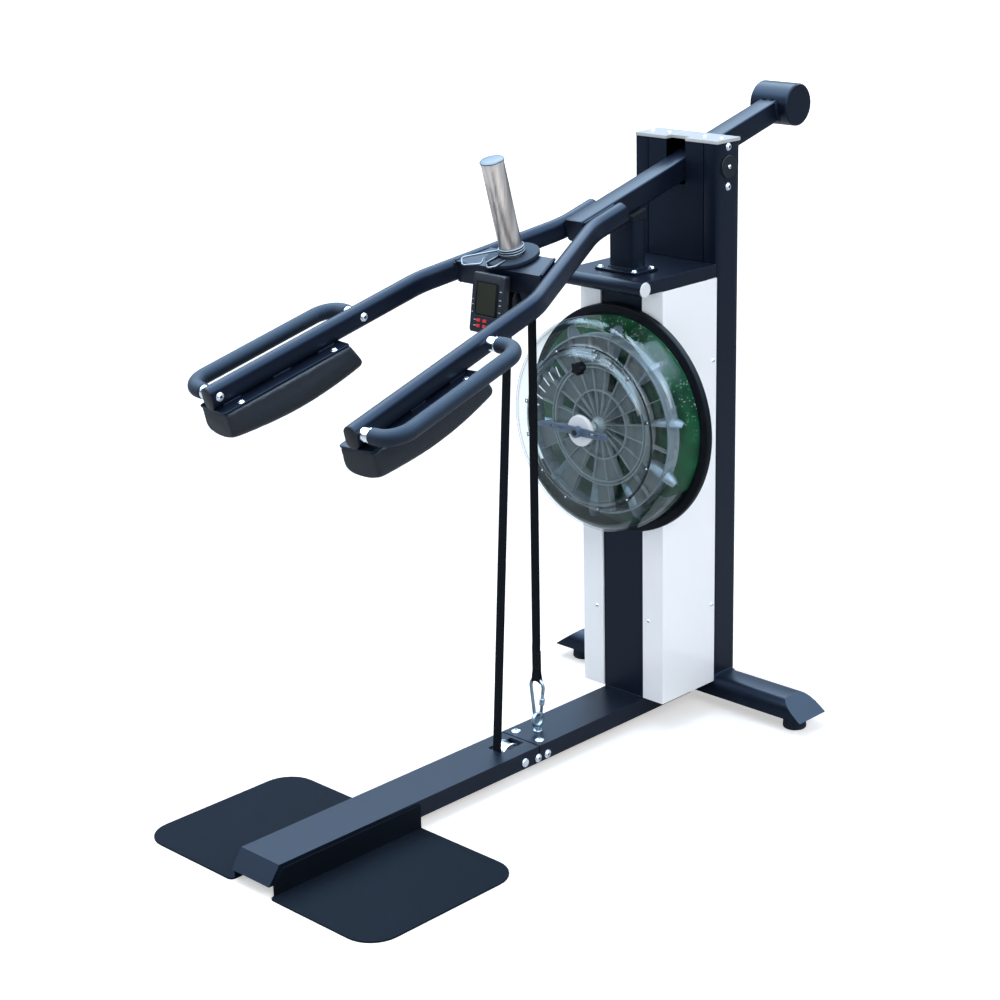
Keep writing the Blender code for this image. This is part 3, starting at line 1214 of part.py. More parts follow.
def build_pulleys(machine, lever):
    bore = PIN_RADIUS + RUN
    pulley("upper_pulley", UPPER_PULLEY_GROOVE, UPPER_PULLEY_RADIUS, bore, lever,
           (0, -UPPER_PULLEY_REACH, -UPPER_PULLEY_DROP))
    pulley("base_pulley", BASE_PULLEY_GROOVE, BASE_PULLEY_RADIUS, bore, machine,
           (0, BASE_PULLEY_Y, BASE_PULLEY_Z))
    half = BEAM_WIDTH / 2 + GAP
    head = [(PIN_RADIUS, half), (BOLT_HEAD_RADIUS, half), (BOLT_HEAD_RADIUS, half + 0.001),
            (BOLT_HEAD_RADIUS - 0.001, half + BOLT_HEAD), (0, half + BOLT_HEAD)]
    bolt = head + [(r, -x) for r, x in reversed(head)]
    piece("base_pulley_axle", turned(bolt, "X", 14, (0, BASE_PULLEY_Y, BASE_PULLEY_Z)), "chrome", machine)
    side, pin = PULLEY_WIDTH / 2, PULLEY_WIDTH / 2 + IDLER_PIN
    lip = side - PULLEY_SIDE
    half_idler = [(IDLER_GROOVE, lip), (IDLER_RADIUS, lip), (IDLER_RADIUS, side), (PIN_RADIUS, side),
                  (PIN_RADIUS, pin), (0, pin)]
    idler = half_idler + [(r, -x) for r, x in reversed(half_idler)]
    piece("column_idler", turned(idler, "X", 20), "zinc", machine, (0, IDLER_Y, IDLER_Z))


def wrapped(centre, radius, start, end, steps):
    """Corners of a belt round a wheel, outside its circle, so that each straight stretch just touches it."""
    half = (end - start) / steps / 2
    return [(centre[0] + radius / cos(half) * cos(start + half * (2 * k + 1)),
             centre[1] + radius / cos(half) * sin(start + half * (2 * k + 1))) for k in range(steps)]


def belt_angle(a, ra, b, rb):
    """Angle at which a straight belt leaves wheel a for wheel b, with both wheels on its left."""
    dy, dz = b[0] - a[0], b[1] - a[1]
    return (atan2(dz, dy) - acos((ra - rb) / hypot(dy, dz))) % (2 * pi)


def in_machine(reach, rise):
    """A point of the lever's (forward, up) plane, in the machine's (y, z), at rest."""
    return (PIVOT_Y - reach * cos(LEVER_SLOPE) - rise * sin(LEVER_SLOPE),
            PIVOT_Z - reach * sin(LEVER_SLOPE) + rise * cos(LEVER_SLOPE))


def strap_route():
    """Centre line of the strap from the hook to the spool, and how far its width has turned at each point."""
    off = STRAP_THICKNESS / 2 + GAP
    upper = in_machine(UPPER_PULLEY_REACH, -UPPER_PULLEY_DROP)
    base, idler = (BASE_PULLEY_Y, BASE_PULLEY_Z), (IDLER_Y, IDLER_Z)
    r_up, r_base, r_idler = UPPER_PULLEY_GROOVE + off, BASE_PULLEY_GROOVE + off, IDLER_GROOVE + off
    start = (EYE_Y, hook_centre_z() + HOOK_LENGTH + HOOK_TOP_RADIUS + HOOK_WIRE + LOOP_RISE)
    rise = hypot(start[0] - upper[0], start[1] - upper[1])
    lean = atan2(start[1] - upper[1], start[0] - upper[0])
    first = (lean + acos(r_up / rise) + pi) % (2 * pi) - pi
    second = belt_angle(upper, r_up, base, r_base)
    third = belt_angle(base, r_base, idler, r_idler)
    route = [start, *wrapped(upper, r_up, first, second, 7)]
    route += wrapped(base, r_base, second, third, 4)
    route += wrapped(idler, r_idler, third, 2 * pi, 4)
    path = [Vector((0, y, z)) for y, z in route]
    turns = [0.0] * len(path)
    spool_y = SPOOL_FRONT + SPOOL_SHEET + SPOOL_ROOM + STRAP_WIDTH / 2
    r_spool = SPOOL_RADIUS + off
    low = Vector((0, IDLER_Y + r_idler, IDLER_Z))
    high = Vector((r_spool, spool_y, TANK_Z - SPOOL_FLANGE - 0.012))
    for k in range(10):
        path.append(low.lerp(high, 0.02 + 0.98 * k / 9))
        turns.append(pi / 2 * k / 9)
    for x, z in wrapped((0, TANK_Z), r_spool, 0, radians(200), 8):
        path.append(Vector((x, spool_y, z)))
        turns.append(pi / 2)
    return path, turns


def strap_rings(path, turns):
    """Rings of the flat section: its width starts along X and turns with the twist."""
    rings = []
    half_w, half_t = STRAP_WIDTH / 2, STRAP_THICKNESS / 2
    last = len(path) - 1
    for i, (point, turn) in enumerate(zip(path, turns)):
        along = (path[min(i + 1, last)] - path[max(i - 1, 0)]).normalized()
        wide = Vector((cos(turn), -sin(turn), 0))
        wide = (wide - along * wide.dot(along)).normalized()
        thick = along.cross(wide)
        rings.append([point + wide * a + thick * b for a, b in
                      ((-half_w, -half_t), (half_w, -half_t), (half_w, half_t), (-half_w, half_t))])
    return rings


def build_strap(machine):
    path, turns = strap_route()
    strap = piece("strap", skin(strap_rings(path, turns)), "webbing", machine)
    bend = hook_centre_z() + HOOK_LENGTH
    low = bend + sqrt((HOOK_TOP_RADIUS - HOOK_WIRE) ** 2 - (STRAP_WIDTH / 2) ** 2) - 0.001
    high = path[0].z + 0.001
    wide = HOOK_WIRE + RUN
    t = STRAP_THICKNESS
    outer = [(wide, low - t + 0.0005), (wide + t, low + 0.002), (wide + t, high - 0.010), (t, high + 0.002)]
    inner = [(wide - 0.001, low), (wide, low + 0.002), (wide, high - 0.011), (0.0012, high - 0.004)]
    loop, hole = [[(EYE_Y + y, z) for y, z in half] + [(EYE_Y - y, z) for y, z in reversed(half)]
                  for half in (outer, inner)]
    join(strap, pipe(loop, hole, "X", -STRAP_WIDTH / 2, STRAP_WIDTH / 2))


def eye_centre_z():
    return BEAM_TOP + EYE_RISE


def hook_centre_z():
    """Centre of the hook's small bend, hung under the eye's ring."""
    return eye_centre_z() + EYE_RADIUS - EYE_WIRE - HOOK_WIRE - HOOK_PLAY + HOOK_LOW_RADIUS


def build_eye_bolt(machine):
    z = eye_centre_z()
    ring = [Vector((0, EYE_Y + y, z + h)) for y, h in circle(EYE_RADIUS, 16)]
    bolt = piece("eye_bolt", swept(ring, circle(EYE_WIRE, 8), ACROSS, closed=True), "zinc", machine)
    top = BEAM_TOP + GAP
    collar = top + EYE_COLLAR_HEIGHT
    under = BEAM_TOP - BEAM_WALL - GAP
    nut = under - EYE_NUT
    join(bolt, turned([(0, z - EYE_RADIUS), (EYE_SHANK, z - EYE_RADIUS), (EYE_SHANK, collar),
                       (EYE_COLLAR - 0.001, collar), (EYE_COLLAR, collar - 0.001), (EYE_COLLAR, top),
                       (EYE_SHANK, top), (EYE_SHANK, under), (EYE_NUT_RADIUS, under), (EYE_NUT_RADIUS, nut),
                       (EYE_SHANK, nut), (EYE_SHANK, nut - EYE_TIP), (0, nut - EYE_TIP)],
                      "Z", 12, (0, EYE_Y, 0)))


def hook_outline():
    """Pear-shaped centre line in (x, z), from the hinge at lower right round the foot, up the left, over the
    top and down to the nose."""
    low, high = hook_centre_z(), hook_centre_z() + HOOK_LENGTH
    lean = asin((HOOK_TOP_RADIUS - HOOK_LOW_RADIUS) / HOOK_LENGTH)
    foot = arc((0, low), HOOK_LOW_RADIUS, -lean, -pi + lean, 8)
    head = arc((0, high), HOOK_TOP_RADIUS, pi + lean, -lean, 12)
    side_low, side_high = Vector(foot[0]), Vector(head[-1])
    return foot, head, side_low, side_high


def build_hook(machine):
    """Spring hook between the eye and the strap's sewn loop, with a sprung gate and its sleeve."""
    foot, head, low, high = hook_outline()
    hinge = low.lerp(high, 0.10)
    nose = low.lerp(high, 0.80)
    line = [hinge] + [Vector(p) for p in foot] + [Vector(p) for p in head] + [nose]
    path = [Vector((p[0], EYE_Y, p[1])) for p in line]
    hook = piece("spring_hook", swept(path, circle(HOOK_WIRE, 8), ALONG), "zinc", machine)
    along = (high - low).normalized()
    length = (nose - hinge).length - HOOK_PLAY
    way = Vector((along[0], 0, along[1]))
    wide = way.cross(ALONG)
    # Tapered at the hinge, so that its corner clears the hook's end as it turns
    rings = [[way * reach + ALONG * a + wide * b for a, b in circle(radius, 8)]
             for reach, radius in ((HOOK_PLAY, GATE_TIP), (GATE_TAPER, GATE_WIRE), (length, GATE_WIRE))]
    gate = piece("hook_gate", skin(rings), "zinc", machine, (hinge[0], EYE_Y, hinge[1]))
    sleeve = [way * (length * share) for share in SLEEVE_ENDS]
    join(gate, swept(sleeve, circle(SLEEVE_RADIUS, 12), ALONG))


def main():
    clear_scene()
    machine = empty("machine", None, (0, MACHINE_Y, 0))
    lever = empty("lever", machine, (0, PIVOT_Y, PIVOT_Z), (LEVER_SLOPE, 0, 0))
    build_front_beam(machine)
    build_rear_beam(machine)
    build_foot_plate(machine, -1, "foot_plate_left")
    build_foot_plate(machine, 1, "foot_plate_right")
    build_rear_foot(machine)
    build_rear_pads(machine)
    build_column(machine)
    build_uprights(machine)
    build_side_panels(machine)
    build_covers(machine)
    build_top_plate(machine)
    build_shelf(machine)
    build_stop(machine)
    build_bearings(machine)
    build_arm(lever)
    build_side_tubes(lever)
    build_handles(lever)
    build_shoulder_pads(lever)
    build_crossbar(lever)
    build_monitor(lever)
    build_weight_post(lever)
    build_collar(lever)
    build_tank(machine)
    build_impeller(machine)
    build_drive(machine)
    build_pulleys(machine, lever)
    build_strap(machine)
    build_eye_bolt(machine)
    build_hook(machine)
    print(f"lever slope at rest {degrees(LEVER_SLOPE):.2f} degrees, machine moved {MACHINE_Y:.4f} m in y")


main()
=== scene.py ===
from math import acos, asin, atan, atan2, cos, degrees, pi, radians, sin, sqrt, tan

import bmesh
import bpy
from mathutils import Matrix, Vector


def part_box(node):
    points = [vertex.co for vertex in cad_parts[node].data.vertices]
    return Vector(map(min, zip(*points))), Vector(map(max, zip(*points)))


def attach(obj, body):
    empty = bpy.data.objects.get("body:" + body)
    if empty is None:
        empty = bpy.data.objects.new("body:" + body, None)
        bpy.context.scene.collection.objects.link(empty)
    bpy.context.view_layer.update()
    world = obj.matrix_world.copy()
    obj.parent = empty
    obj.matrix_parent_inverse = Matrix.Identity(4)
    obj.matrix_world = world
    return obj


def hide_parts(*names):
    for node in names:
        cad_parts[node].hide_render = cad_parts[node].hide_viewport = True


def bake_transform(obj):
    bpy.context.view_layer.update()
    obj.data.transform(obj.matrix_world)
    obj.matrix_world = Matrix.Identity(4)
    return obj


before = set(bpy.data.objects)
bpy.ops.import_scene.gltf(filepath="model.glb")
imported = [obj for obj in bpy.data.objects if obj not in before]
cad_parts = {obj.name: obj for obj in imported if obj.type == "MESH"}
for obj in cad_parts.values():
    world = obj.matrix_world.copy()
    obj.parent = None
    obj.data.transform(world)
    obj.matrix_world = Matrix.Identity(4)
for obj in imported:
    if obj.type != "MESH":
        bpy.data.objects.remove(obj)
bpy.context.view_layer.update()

# The viewpoint: from the front right and a little above, about four metres away, as the machine is shown.
# It stands alone on a white floor in soft light from above, with a cooler sky overhead.
AROUND, ABOVE, LEAN = radians(44.6624), radians(18.0544), radians(-1.3719)
back = Vector((sin(AROUND) * cos(ABOVE), -cos(AROUND) * cos(ABOVE), sin(ABOVE)))
level = Vector((cos(AROUND), sin(AROUND), 0))
upward = back.cross(level)
right = level * cos(LEAN) + upward * sin(LEAN)
camera = bpy.data.objects.new("camera", bpy.data.cameras.new("camera"))
bpy.context.scene.collection.objects.link(camera)
camera.matrix_world = Matrix.Translation((3.1986, -3.375426, 2.1341)) @ Matrix(
    (right, upward * cos(LEAN) - level * sin(LEAN), back)).transposed().to_4x4()
camera.data.sensor_width, camera.data.lens = 36, 78.894
bpy.context.scene.camera = camera
bpy.context.scene.view_settings.view_transform = "Standard"


class Value:
    """A number, colour or place on its way through nodes. The usual signs work on numbers."""

    def __init__(self, nodes, socket):
        self.nodes, self.socket = nodes, socket

    def math(self, operation, *others):
        return self.nodes.node("Math", {"operation": operation}, dict(enumerate((self, *others))))

    def __add__(self, other):
        return self.math("ADD", other)

    def __sub__(self, other):
        return self.math("SUBTRACT", other)

    def __rsub__(self, other):
        return self.nodes.node("Math", {"operation": "SUBTRACT"}, {0: other, 1: self})

    def __mul__(self, other):
        return self.math("MULTIPLY", other)

    __radd__, __rmul__ = __add__, __mul__

    def step(self, low, high):
        """0 at low, 1 at high, and smooth between."""
        return self.nodes.node("MapRange", {"interpolation_type": "SMOOTHSTEP"},
                               {"Value": self, "From Min": low, "From Max": high})

    def along(self, way):
        """How far a place lies along a direction."""
        return self.nodes.node("VectorMath", {"operation": "DOT_PRODUCT"}, {0: self, 1: way}, "Value")

    def vector(self, operation, other):
        out = "Value" if operation == "LENGTH" else 0
        return self.nodes.node("VectorMath", {"operation": operation}, {0: self, 1: other}, out)


class Nodes:
    """The nodes of a finish, or of the sky."""

    def __init__(self, owner):
        owner.use_nodes = True
        self.tree, self.links = owner.node_tree.nodes, owner.node_tree.links

    def node(self, kind, settings, sockets, out=0):
        made = self.tree.new("ShaderNode" + kind)
        for name, setting in settings.items():
            if name == "stops":
                ramp = made.color_ramp.elements
                while len(ramp) < len(setting):
                    ramp.new(0.5)
                for element, (at, colour) in zip(ramp, setting):
                    element.position, element.color = at, (*colour, 1)
            else:
                setattr(made, name, setting)
        for name, value in sockets.items():
            self.set(made.inputs[name], value)
        return Value(self, made.outputs[out] if made.outputs else None)

    def set(self, socket, value):
        if isinstance(value, Value):
            self.links.new(value.socket, socket)
        elif socket.type == "RGBA" and len(value) == 3:
            socket.default_value = (*value, 1)
        else:
            socket.default_value = value

    def mix(self, part, a, b):
        return self.node("Mix", {"data_type": "RGBA"}, {0: part, 6: a, 7: b}, 2)


world = bpy.data.worlds.new("studio")
bpy.context.scene.world = world
sky = Nodes(world)
sky.tree.clear()
direction = sky.node("TexCoord", {}, {}, "Generated")
height = direction.along((0, 0, 1))
soft = sky.node("Background", {}, {"Color": sky.mix(height.step(-0.1, 0.9), (0.90, 0.94, 1.0), (0.72, 0.83, 1.0)),
                                   "Strength": 0.62})
seen = sky.node("Background", {}, {"Color": (1, 1, 1), "Strength": 1.0})
low_sky = sky.node("Background", {}, {"Color": sky.mix(height.step(0.0, 0.40), (0.72, 0.84, 1.0),
                                                       (0.44, 0.66, 1.0)),
                                   "Strength": 0.26 + 0.50 * direction.along(level).step(-0.75, 0.10)})
high_sky = sky.node("Background", {}, {"Color": (0.62, 0.81, 1.0), "Strength": 10.5})
mirrored_sky = sky.node("MixShader", {}, {0: height.step(0.40, 0.64), 1: low_sky, 2: high_sky})
straight = sky.node("LightPath", {}, {}, "Is Camera Ray") + sky.node("LightPath", {}, {}, "Is Transmission Ray")
glossy = sky.node("LightPath", {}, {}, "Is Glossy Ray")
lit = sky.node("MixShader", {}, {0: glossy, 1: soft, 2: mirrored_sky})
sky.node("OutputWorld", {}, {0: sky.node("MixShader", {}, {0: straight, 1: lit, 2: seen})})


def lamp(name, place, aim, size, power, colour):
    light = bpy.data.lights.new(name, "AREA")
    light.shape, light.size, light.energy, light.color = "DISK", size, power, colour
    made = bpy.data.objects.new(name, light)
    bpy.context.scene.collection.objects.link(made)
    made.location = place
    made.rotation_euler = (Vector(aim) - Vector(place)).to_track_quat("-Z", "Y").to_euler()


lamp("overhead", (-0.6, -0.8, 4.6), (0, 0, 0.7), 2.4, 95, (0.86, 0.93, 1.0))
lamp("window", (3.8, -1.6, 3.0), (0, 0, 0.8), 2.2, 84, (1.0, 0.98, 0.95))
lamp("window_left", (-3.4, -3.6, 2.6), (0, 0, 0.8), 2.0, 32, (0.94, 0.97, 1.0))

floor_mesh = bpy.data.meshes.new("floor")
floor_mesh.from_pydata([(-60, -60, 0), (60, -60, 0), (60, 60, 0), (-60, 60, 0)], [], [(0, 1, 2, 3)])
floor = bpy.data.objects.new("floor", floor_mesh)
bpy.context.scene.collection.objects.link(floor)
floor_paint = bpy.data.materials.new("white_floor")
floor_mesh.materials.append(floor_paint)
ground = Nodes(floor_paint)
shader = ground.tree["Principled BSDF"]
for name, value in (("Base Color", (0.86, 0.87, 0.88, 1)), ("Roughness", 0.9), ("Specular IOR Level", 0.1),
                    ("Emission Strength", 1.0)):
    shader.inputs[name].default_value = value
reach = ground.node("TexCoord", {}, {}, "Object").vector("LENGTH", (0, 0, 0)).step(2.0, 8.0)
ground.set(shader.inputs["Emission Color"],
           ground.mix(ground.node("LightPath", {}, {}, "Is Camera Ray"), (0, 0, 0),
                      ground.mix(reach, (0.46, 0.45, 0.44), (0.95, 0.92, 0.88))))


# Satin navy powder coat on every welded steel part. It is sprayed as powder and baked, which leaves a fine
# orange peel.
class Finish(Nodes):
    """One surface finish: numbers stand on the shader's own sockets, and what varies is linked to them."""

    def __init__(self, name, numbers):
        self.material = bpy.data.materials.new(name)
        super().__init__(self.material)
        self.shader = self.tree["Principled BSDF"]
        for socket, number in numbers.items():
            self.set(self.shader.inputs[socket], number)
        self.place = self.node("TexCoord", {}, {}, "Object")

    def feed(self, **inputs):
        for name, value in inputs.items():
            self.set(self.shader.inputs[name.replace("_", " ").title()], value)

    def noise(self, scale, detail=2, place=None):
        return self.node("TexNoise", {}, {"Vector": place or self.place, "Scale": scale, "Detail": detail})

    def bump(self, height, deep, strength=1.0):
        self.feed(normal=self.node("Bump", {}, {"Height": height, "Distance": deep, "Strength": strength}))


def drifting(name, numbers, drift, dark, light, rough, grain=None, deep=0.0, strength=0.5):
    """A finish whose colour and roughness drift together from place to place. Its grain is a finer noise, or
    where none is given the drift itself, and drift and grain are each a scale and a detail."""
    made = Finish(name, numbers)
    share = made.noise(*drift)
    made.feed(base_color=made.mix(share, dark, light), roughness=rough[0] + rough[1] * share)
    if deep:
        made.bump(made.noise(*grain) if grain else share, deep, strength)
    return made


navy = Finish("navy_powder_coat", {"Specular IOR Level": 0.18, "Specular Tint": (0.50, 0.70, 1.0)})
cloud, peel = navy.noise(5, 3), navy.noise(900, 2)
navy.feed(base_color=navy.mix(cloud, (0.0030, 0.0048, 0.0102), (0.0048, 0.0075, 0.0158)),
          roughness=0.27 + 0.10 * cloud + 0.06 * peel)
navy.bump(peel + 0.35 * navy.noise(2600, 1), 0.00012, 0.55)


def rounding():
    """The modifier behind every carried-over solid: its triangles are joined at their corners and shaded
    as one skin, so that the bevel after it can round the folded edges."""
    tree = bpy.data.node_groups.new("joined_skin", "GeometryNodeTree")
    for way in ("INPUT", "OUTPUT"):
        tree.interface.new_socket("Geometry", in_out=way, socket_type="NodeSocketGeometry")
    last = tree.nodes.new("NodeGroupInput").outputs[0]
    for kind, sockets in (("GeometryNodeMergeByDistance", {"Distance": 0.00001}),
                          ("GeometryNodeRemoveAttribute", {"Name": "custom_normal"}),
                          ("GeometryNodeSetShadeSmooth", {})):
        made = tree.nodes.new(kind)
        for name, value in sockets.items():
            made.inputs[name].default_value = value
        tree.links.new(last, made.inputs["Geometry"])
        last = made.outputs["Geometry"]
    tree.links.new(last, tree.nodes.new("NodeGroupOutput").inputs[0])
    return tree


joined_skin = rounding()


def round_edges(obj, width, steps=2, angle=32):
    bevel = obj.modifiers.new("edges", "BEVEL")
    bevel.limit_method, bevel.angle_limit = "ANGLE", radians(angle)
    bevel.width, bevel.segments, bevel.harden_normals = width, steps, True


def dress(finish, width, *names, angle=32):
    """Gives carried-over solids their finish, and a small radius on their edges."""
    for name in names:
        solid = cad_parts[name]
        solid.data.materials.clear()
        solid.data.materials.append(finish.material)
        solid.modifiers.new("skin", "NODES").node_group = joined_skin
        flat = solid.modifiers.new("flats", "DECIMATE")
        flat.decimate_type, flat.angle_limit = "DISSOLVE", radians(0.6)
        round_edges(solid, width, angle=angle)


# Base: two folded steel channels joined end to end by a sleeve, the long one with a slot for the strap's
# pulley. The column stands on the beam, and the uprights in the D-shaped rear foot, all welded. Pieces that
# only touch are set a small gap apart.
FACE, PIVOT_BACK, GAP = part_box("centre_column")[0].y, 0.226, 0.0003
dress(navy, 0.0016, "front_beam", "rear_beam", "rear_foot")
dress(navy, 0.0012, "centre_column", "upright_left", "upright_right")


def at(x, y, z):
    """A place measured from the middle of the machine, the column's front face and the floor."""
    return Vector((x, y + FACE, z))


def skinned(rings, closed=False, ends=True):
    """Points and faces of a skin over rings of points."""
    n, count = len(rings[0]), len(rings)
    points = [Vector(p) for ring in rings for p in ring]
    faces = [(i * n + j, i * n + (j + 1) % n, (i + 1) % count * n + (j + 1) % n, (i + 1) % count * n + j)
             for i in range(count if closed else count - 1) for j in range(n)]
    if ends and not closed:
        faces += [tuple(range(n)), tuple(range(len(points) - n, len(points)))]
    return points, faces


def swept(path, outline, side, closed=False, sizes=None):
    """A section carried along a path, its first axis turned to the side."""
    rings, last = [], len(path) - 1
    for i, point in enumerate(path):
        ahead = path[(i + 1) % len(path)] if closed else path[min(i + 1, last)]
        on = (ahead - path[i - 1 if closed or i else 0]).normalized()
        across = (side - on * side.dot(on)).normalized()
        over = on.cross(across)
        size = sizes[i] if sizes else 1
        rings.append([point + (across * u + over * v) * size for u, v in outline])
    return skinned(rings, closed)


def turned(profile, centre, axis, steps=96, closed=False):
    """A turned shape from (radius, height) pairs."""
    axis = Vector(axis).normalized()
    u = axis.orthogonal().normalized()
    v = axis.cross(u)
    spokes = [u * cos(2 * pi * k / steps) + v * sin(2 * pi * k / steps) for k in range(steps)]
    return skinned([[centre + axis * h + way * r for way in spokes] for r, h in profile], closed, False)


def slab(outline, through):
    return skinned([list(outline), [Vector(p) + through for p in outline]])


def joined(shapes):
    points, faces = [], []
    for more, sides in shapes:
        faces += [[i + len(points) for i in side] for side in sides]
        points += more
    return points, faces


def bend(out, over, radius, start, end, steps=6):
    """Points of a round about (out, over), from one angle to another."""
    turns = [start + (end - start) * k / steps for k in range(steps + 1)]
    return [(out + radius * cos(turn), over + radius * sin(turn)) for turn in turns]


def circle(radius, steps=24):
    return bend(0, 0, radius, 0, 2 * pi, steps)[:-1]


def make(name, shape, finish, body="root", stands_for=(), edge=0.0, angle=32):
    """One piece, where it stands, on the body that it moves with. The strap runs between two, so it has none."""
    mesh = bpy.data.meshes.new(name)
    mesh.from_pydata([tuple(p) for p in shape[0]], [], shape[1])
    skin = bmesh.new()
    skin.from_mesh(mesh)
    bmesh.ops.remove_doubles(skin, verts=skin.verts, dist=0.000002)
    bmesh.ops.recalc_face_normals(skin, faces=skin.faces)
    skin.to_mesh(mesh)
    skin.free()
    mesh.shade_smooth()
    if not edge:
        mesh.set_sharp_from_angle(angle=radians(angle))
    mesh.materials.append(finish.material)
    made = bpy.data.objects.new(name, mesh)
    bpy.context.scene.collection.objects.link(made)
    if edge:
        round_edges(made, edge, angle=angle)
    if body:
        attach(made, body)
    if stands_for:
        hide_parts(*stands_for)
    return made


def weld(corners, radius=0.0032, loop=False):
    """A bead laid dab by dab along a line of corners."""
    legs = list(zip(corners, corners[1:] + corners[:1] if loop else corners[1:]))
    path = []
    for start, end in legs:
        dabs = max(1, round((end - start).length / 0.0011))
        path += [start.lerp(end, k / dabs) for k in range(dabs)]
    path += [] if loop else [corners[-1]]
    sizes = [1 + 0.10 * sin(2.3 * k) for k in range(len(path))]
    spans = [end - start for start, end in legs]
    flat = spans[0].cross(spans[1]) if len(spans) > 1 and spans[0].cross(spans[1]).length > 1e-8 else None
    side = flat.normalized() if flat else spans[0].orthogonal().normalized()
    return swept(path, circle(radius, 8), side, loop, sizes)


saddle = []
for step in range(9):
    off = -0.040 + 0.010 * step
    lean = max(0.0, abs(off) - 0.022) / 0.028
    saddle.append((PIVOT_BACK + off, 0.0465 + 0.034 * sqrt(1 - lean * lean)))
UPRIGHT_OUT, UPRIGHT_HALF = 0.1011, 0.0195
foot_welds = []
for x in (UPRIGHT_OUT, -UPRIGHT_OUT):
    ring = [at(x + UPRIGHT_HALF, y, z) for y, z in saddle] + [at(x - UPRIGHT_HALF, y, z) for y, z in reversed(saddle)]
    foot_welds.append(weld(ring, 0.0034, True))
make("upright_welds", joined(foot_welds), navy)
make("column_weld", weld([at(-0.0585, 0.0002, 0.0668), at(0.0585, 0.0002, 0.0668)]), navy)

# Fasteners: zinc-plated button-head screws with a hexagon socket, some on a washer. The first ones hold the
# splice of the two beams, and a black strip in its joint is painted shade of the gap.
zinc = drifting("zinc_plate", {"Metallic": 1.0}, (260, 3), (0.60, 0.66, 0.74), (0.80, 0.84, 0.88), rough=(0.20, 0.16),
                grain=(1500, 2), deep=0.00004, strength=0.3)


def screw(place, out, radius, rise, washer):
    """A button head with its socket, on a washer where one is given."""
    out = Vector(out).normalized()
    u = out.orthogonal().normalized()
    v = out.cross(u)
    base = 0.0011 if washer else 0.0

    def ring(reach, high, six=False):
        points = []
        for k in range(24):
            turn = 2 * pi * k / 24
            size = reach / cos(turn % (pi / 3) - pi / 6) if six else reach
            points.append(place + out * (base + high * rise) + (u * cos(turn) + v * sin(turn)) * size)
        return points

    head = skinned([ring(radius, 0), ring(radius, 0.30), ring(0.93 * radius, 0.62), ring(0.78 * radius, 0.88),
                    ring(0.60 * radius, 1), ring(0.44 * radius, 0.97, True), ring(0.42 * radius, 0.35, True),
                    ring(0, 0.35)], ends=False)
    if not washer:
        return head
    disc = turned([(0.003, 0.0001), (washer, 0.0001), (washer, 0.0008), (washer - 0.0004, base), (0.003, base)],
                  place, out, 32, True)
    return joined([head, disc])


# The socket's faces get a dark finish: painted shade inside the recess.
painted_socket_shade = drifting("screw_socket_painted_shade", {"Specular IOR Level": 0.2}, (800, 2), (0.006, 0.007, 0.009),
                       (0.030, 0.033, 0.038), rough=(0.5, 0.2))


def screws(name, spots, body="root", radius=0.0060, rise=0.0034, washer=0.0):
    made = make(name, joined([screw(place, out, radius, rise, washer) for place, out in spots]), zinc, body)
    made.data.materials.append(painted_socket_shade.material)
    for place, out in spots:
        axis = Vector(out).normalized()
        for face in made.data.polygons:
            off_axis = face.center - place
            height = off_axis.dot(axis)
            if (off_axis - axis * height).length < 0.42 * radius and 0 < height < 0.012:
                # Faces inside the socket take the painted shade.
                face.material_index = 1


UP, FRONT, SIDE = Vector((0, 0, 1)), Vector((0, -1, 0)), Vector((1, 0, 0))
screws("beam_top_screws", [(at(x, -0.336, 0.0660), UP) for x in (-0.037, 0.037)], radius=0.0076, rise=0.0030,
       washer=0.0106)
screws("beam_side_screws", [(at(x, y, 0.0378), (x, 0, 0)) for x in (-0.0600, 0.0600) for y in (-0.365, -0.334)],
       radius=0.0070, washer=0.0100)
dress(zinc, 0.0005, "base_pulley_axle")
# The black strip at the splice is painted shade: a dark sheet laid where the joint's gap is only in shadow.
joint_shade_finish = drifting("painted_joint_shade", {"Specular IOR Level": 0.03}, (300, 3), (0.0003, 0.0004, 0.0006),
                   (0.0010, 0.0012, 0.0018), rough=(0.75, 0.15), deep=0.0001, strength=0.6)
seam = [at(x, -0.3618, z) for x, z in ((-0.0603, 0.0300), (-0.0603, 0.0650), (-0.0590, 0.0663), (0.0590, 0.0663),
                                       (0.0603, 0.0650), (0.0603, 0.0300), (0.0560, 0.0300), (0.0560, 0.0620),
                                       (-0.0560, 0.0620), (-0.0560, 0.0300))]
make("splice_painted_shadow", slab(seam, Vector((0, 0.0032, 0))), joint_shade_finish)

# Foot plates: sheet steel lying on the floor, the inner edge turned up against the beam. Their coat has
# fine grit in it for grip.
grit = Finish("gritty_coat", {"Specular IOR Level": 0.045, "Specular Tint": (0.50, 0.70, 1.0)})
grain = grit.noise(1400, 2)
speck = grit.node("TexVoronoi", {"feature": "F1"}, {"Vector": grit.place, "Scale": 620, "Randomness": 1.0})
worn = grit.noise(7, 4)
grit.feed(base_color=grit.mix(speck.step(0.28, 0.02) * 0.55 + worn * 0.35, (0.0020, 0.0028, 0.0045),
                              (0.0090, 0.0125, 0.0185)), roughness=0.50 + 0.20 * grain + 0.08 * worn)
grit.bump(grain + speck.step(0.36, 0.05) * 0.8, 0.00035, 0.7)
dress(grit, 0.0009, "foot_plate_left", "foot_plate_right")

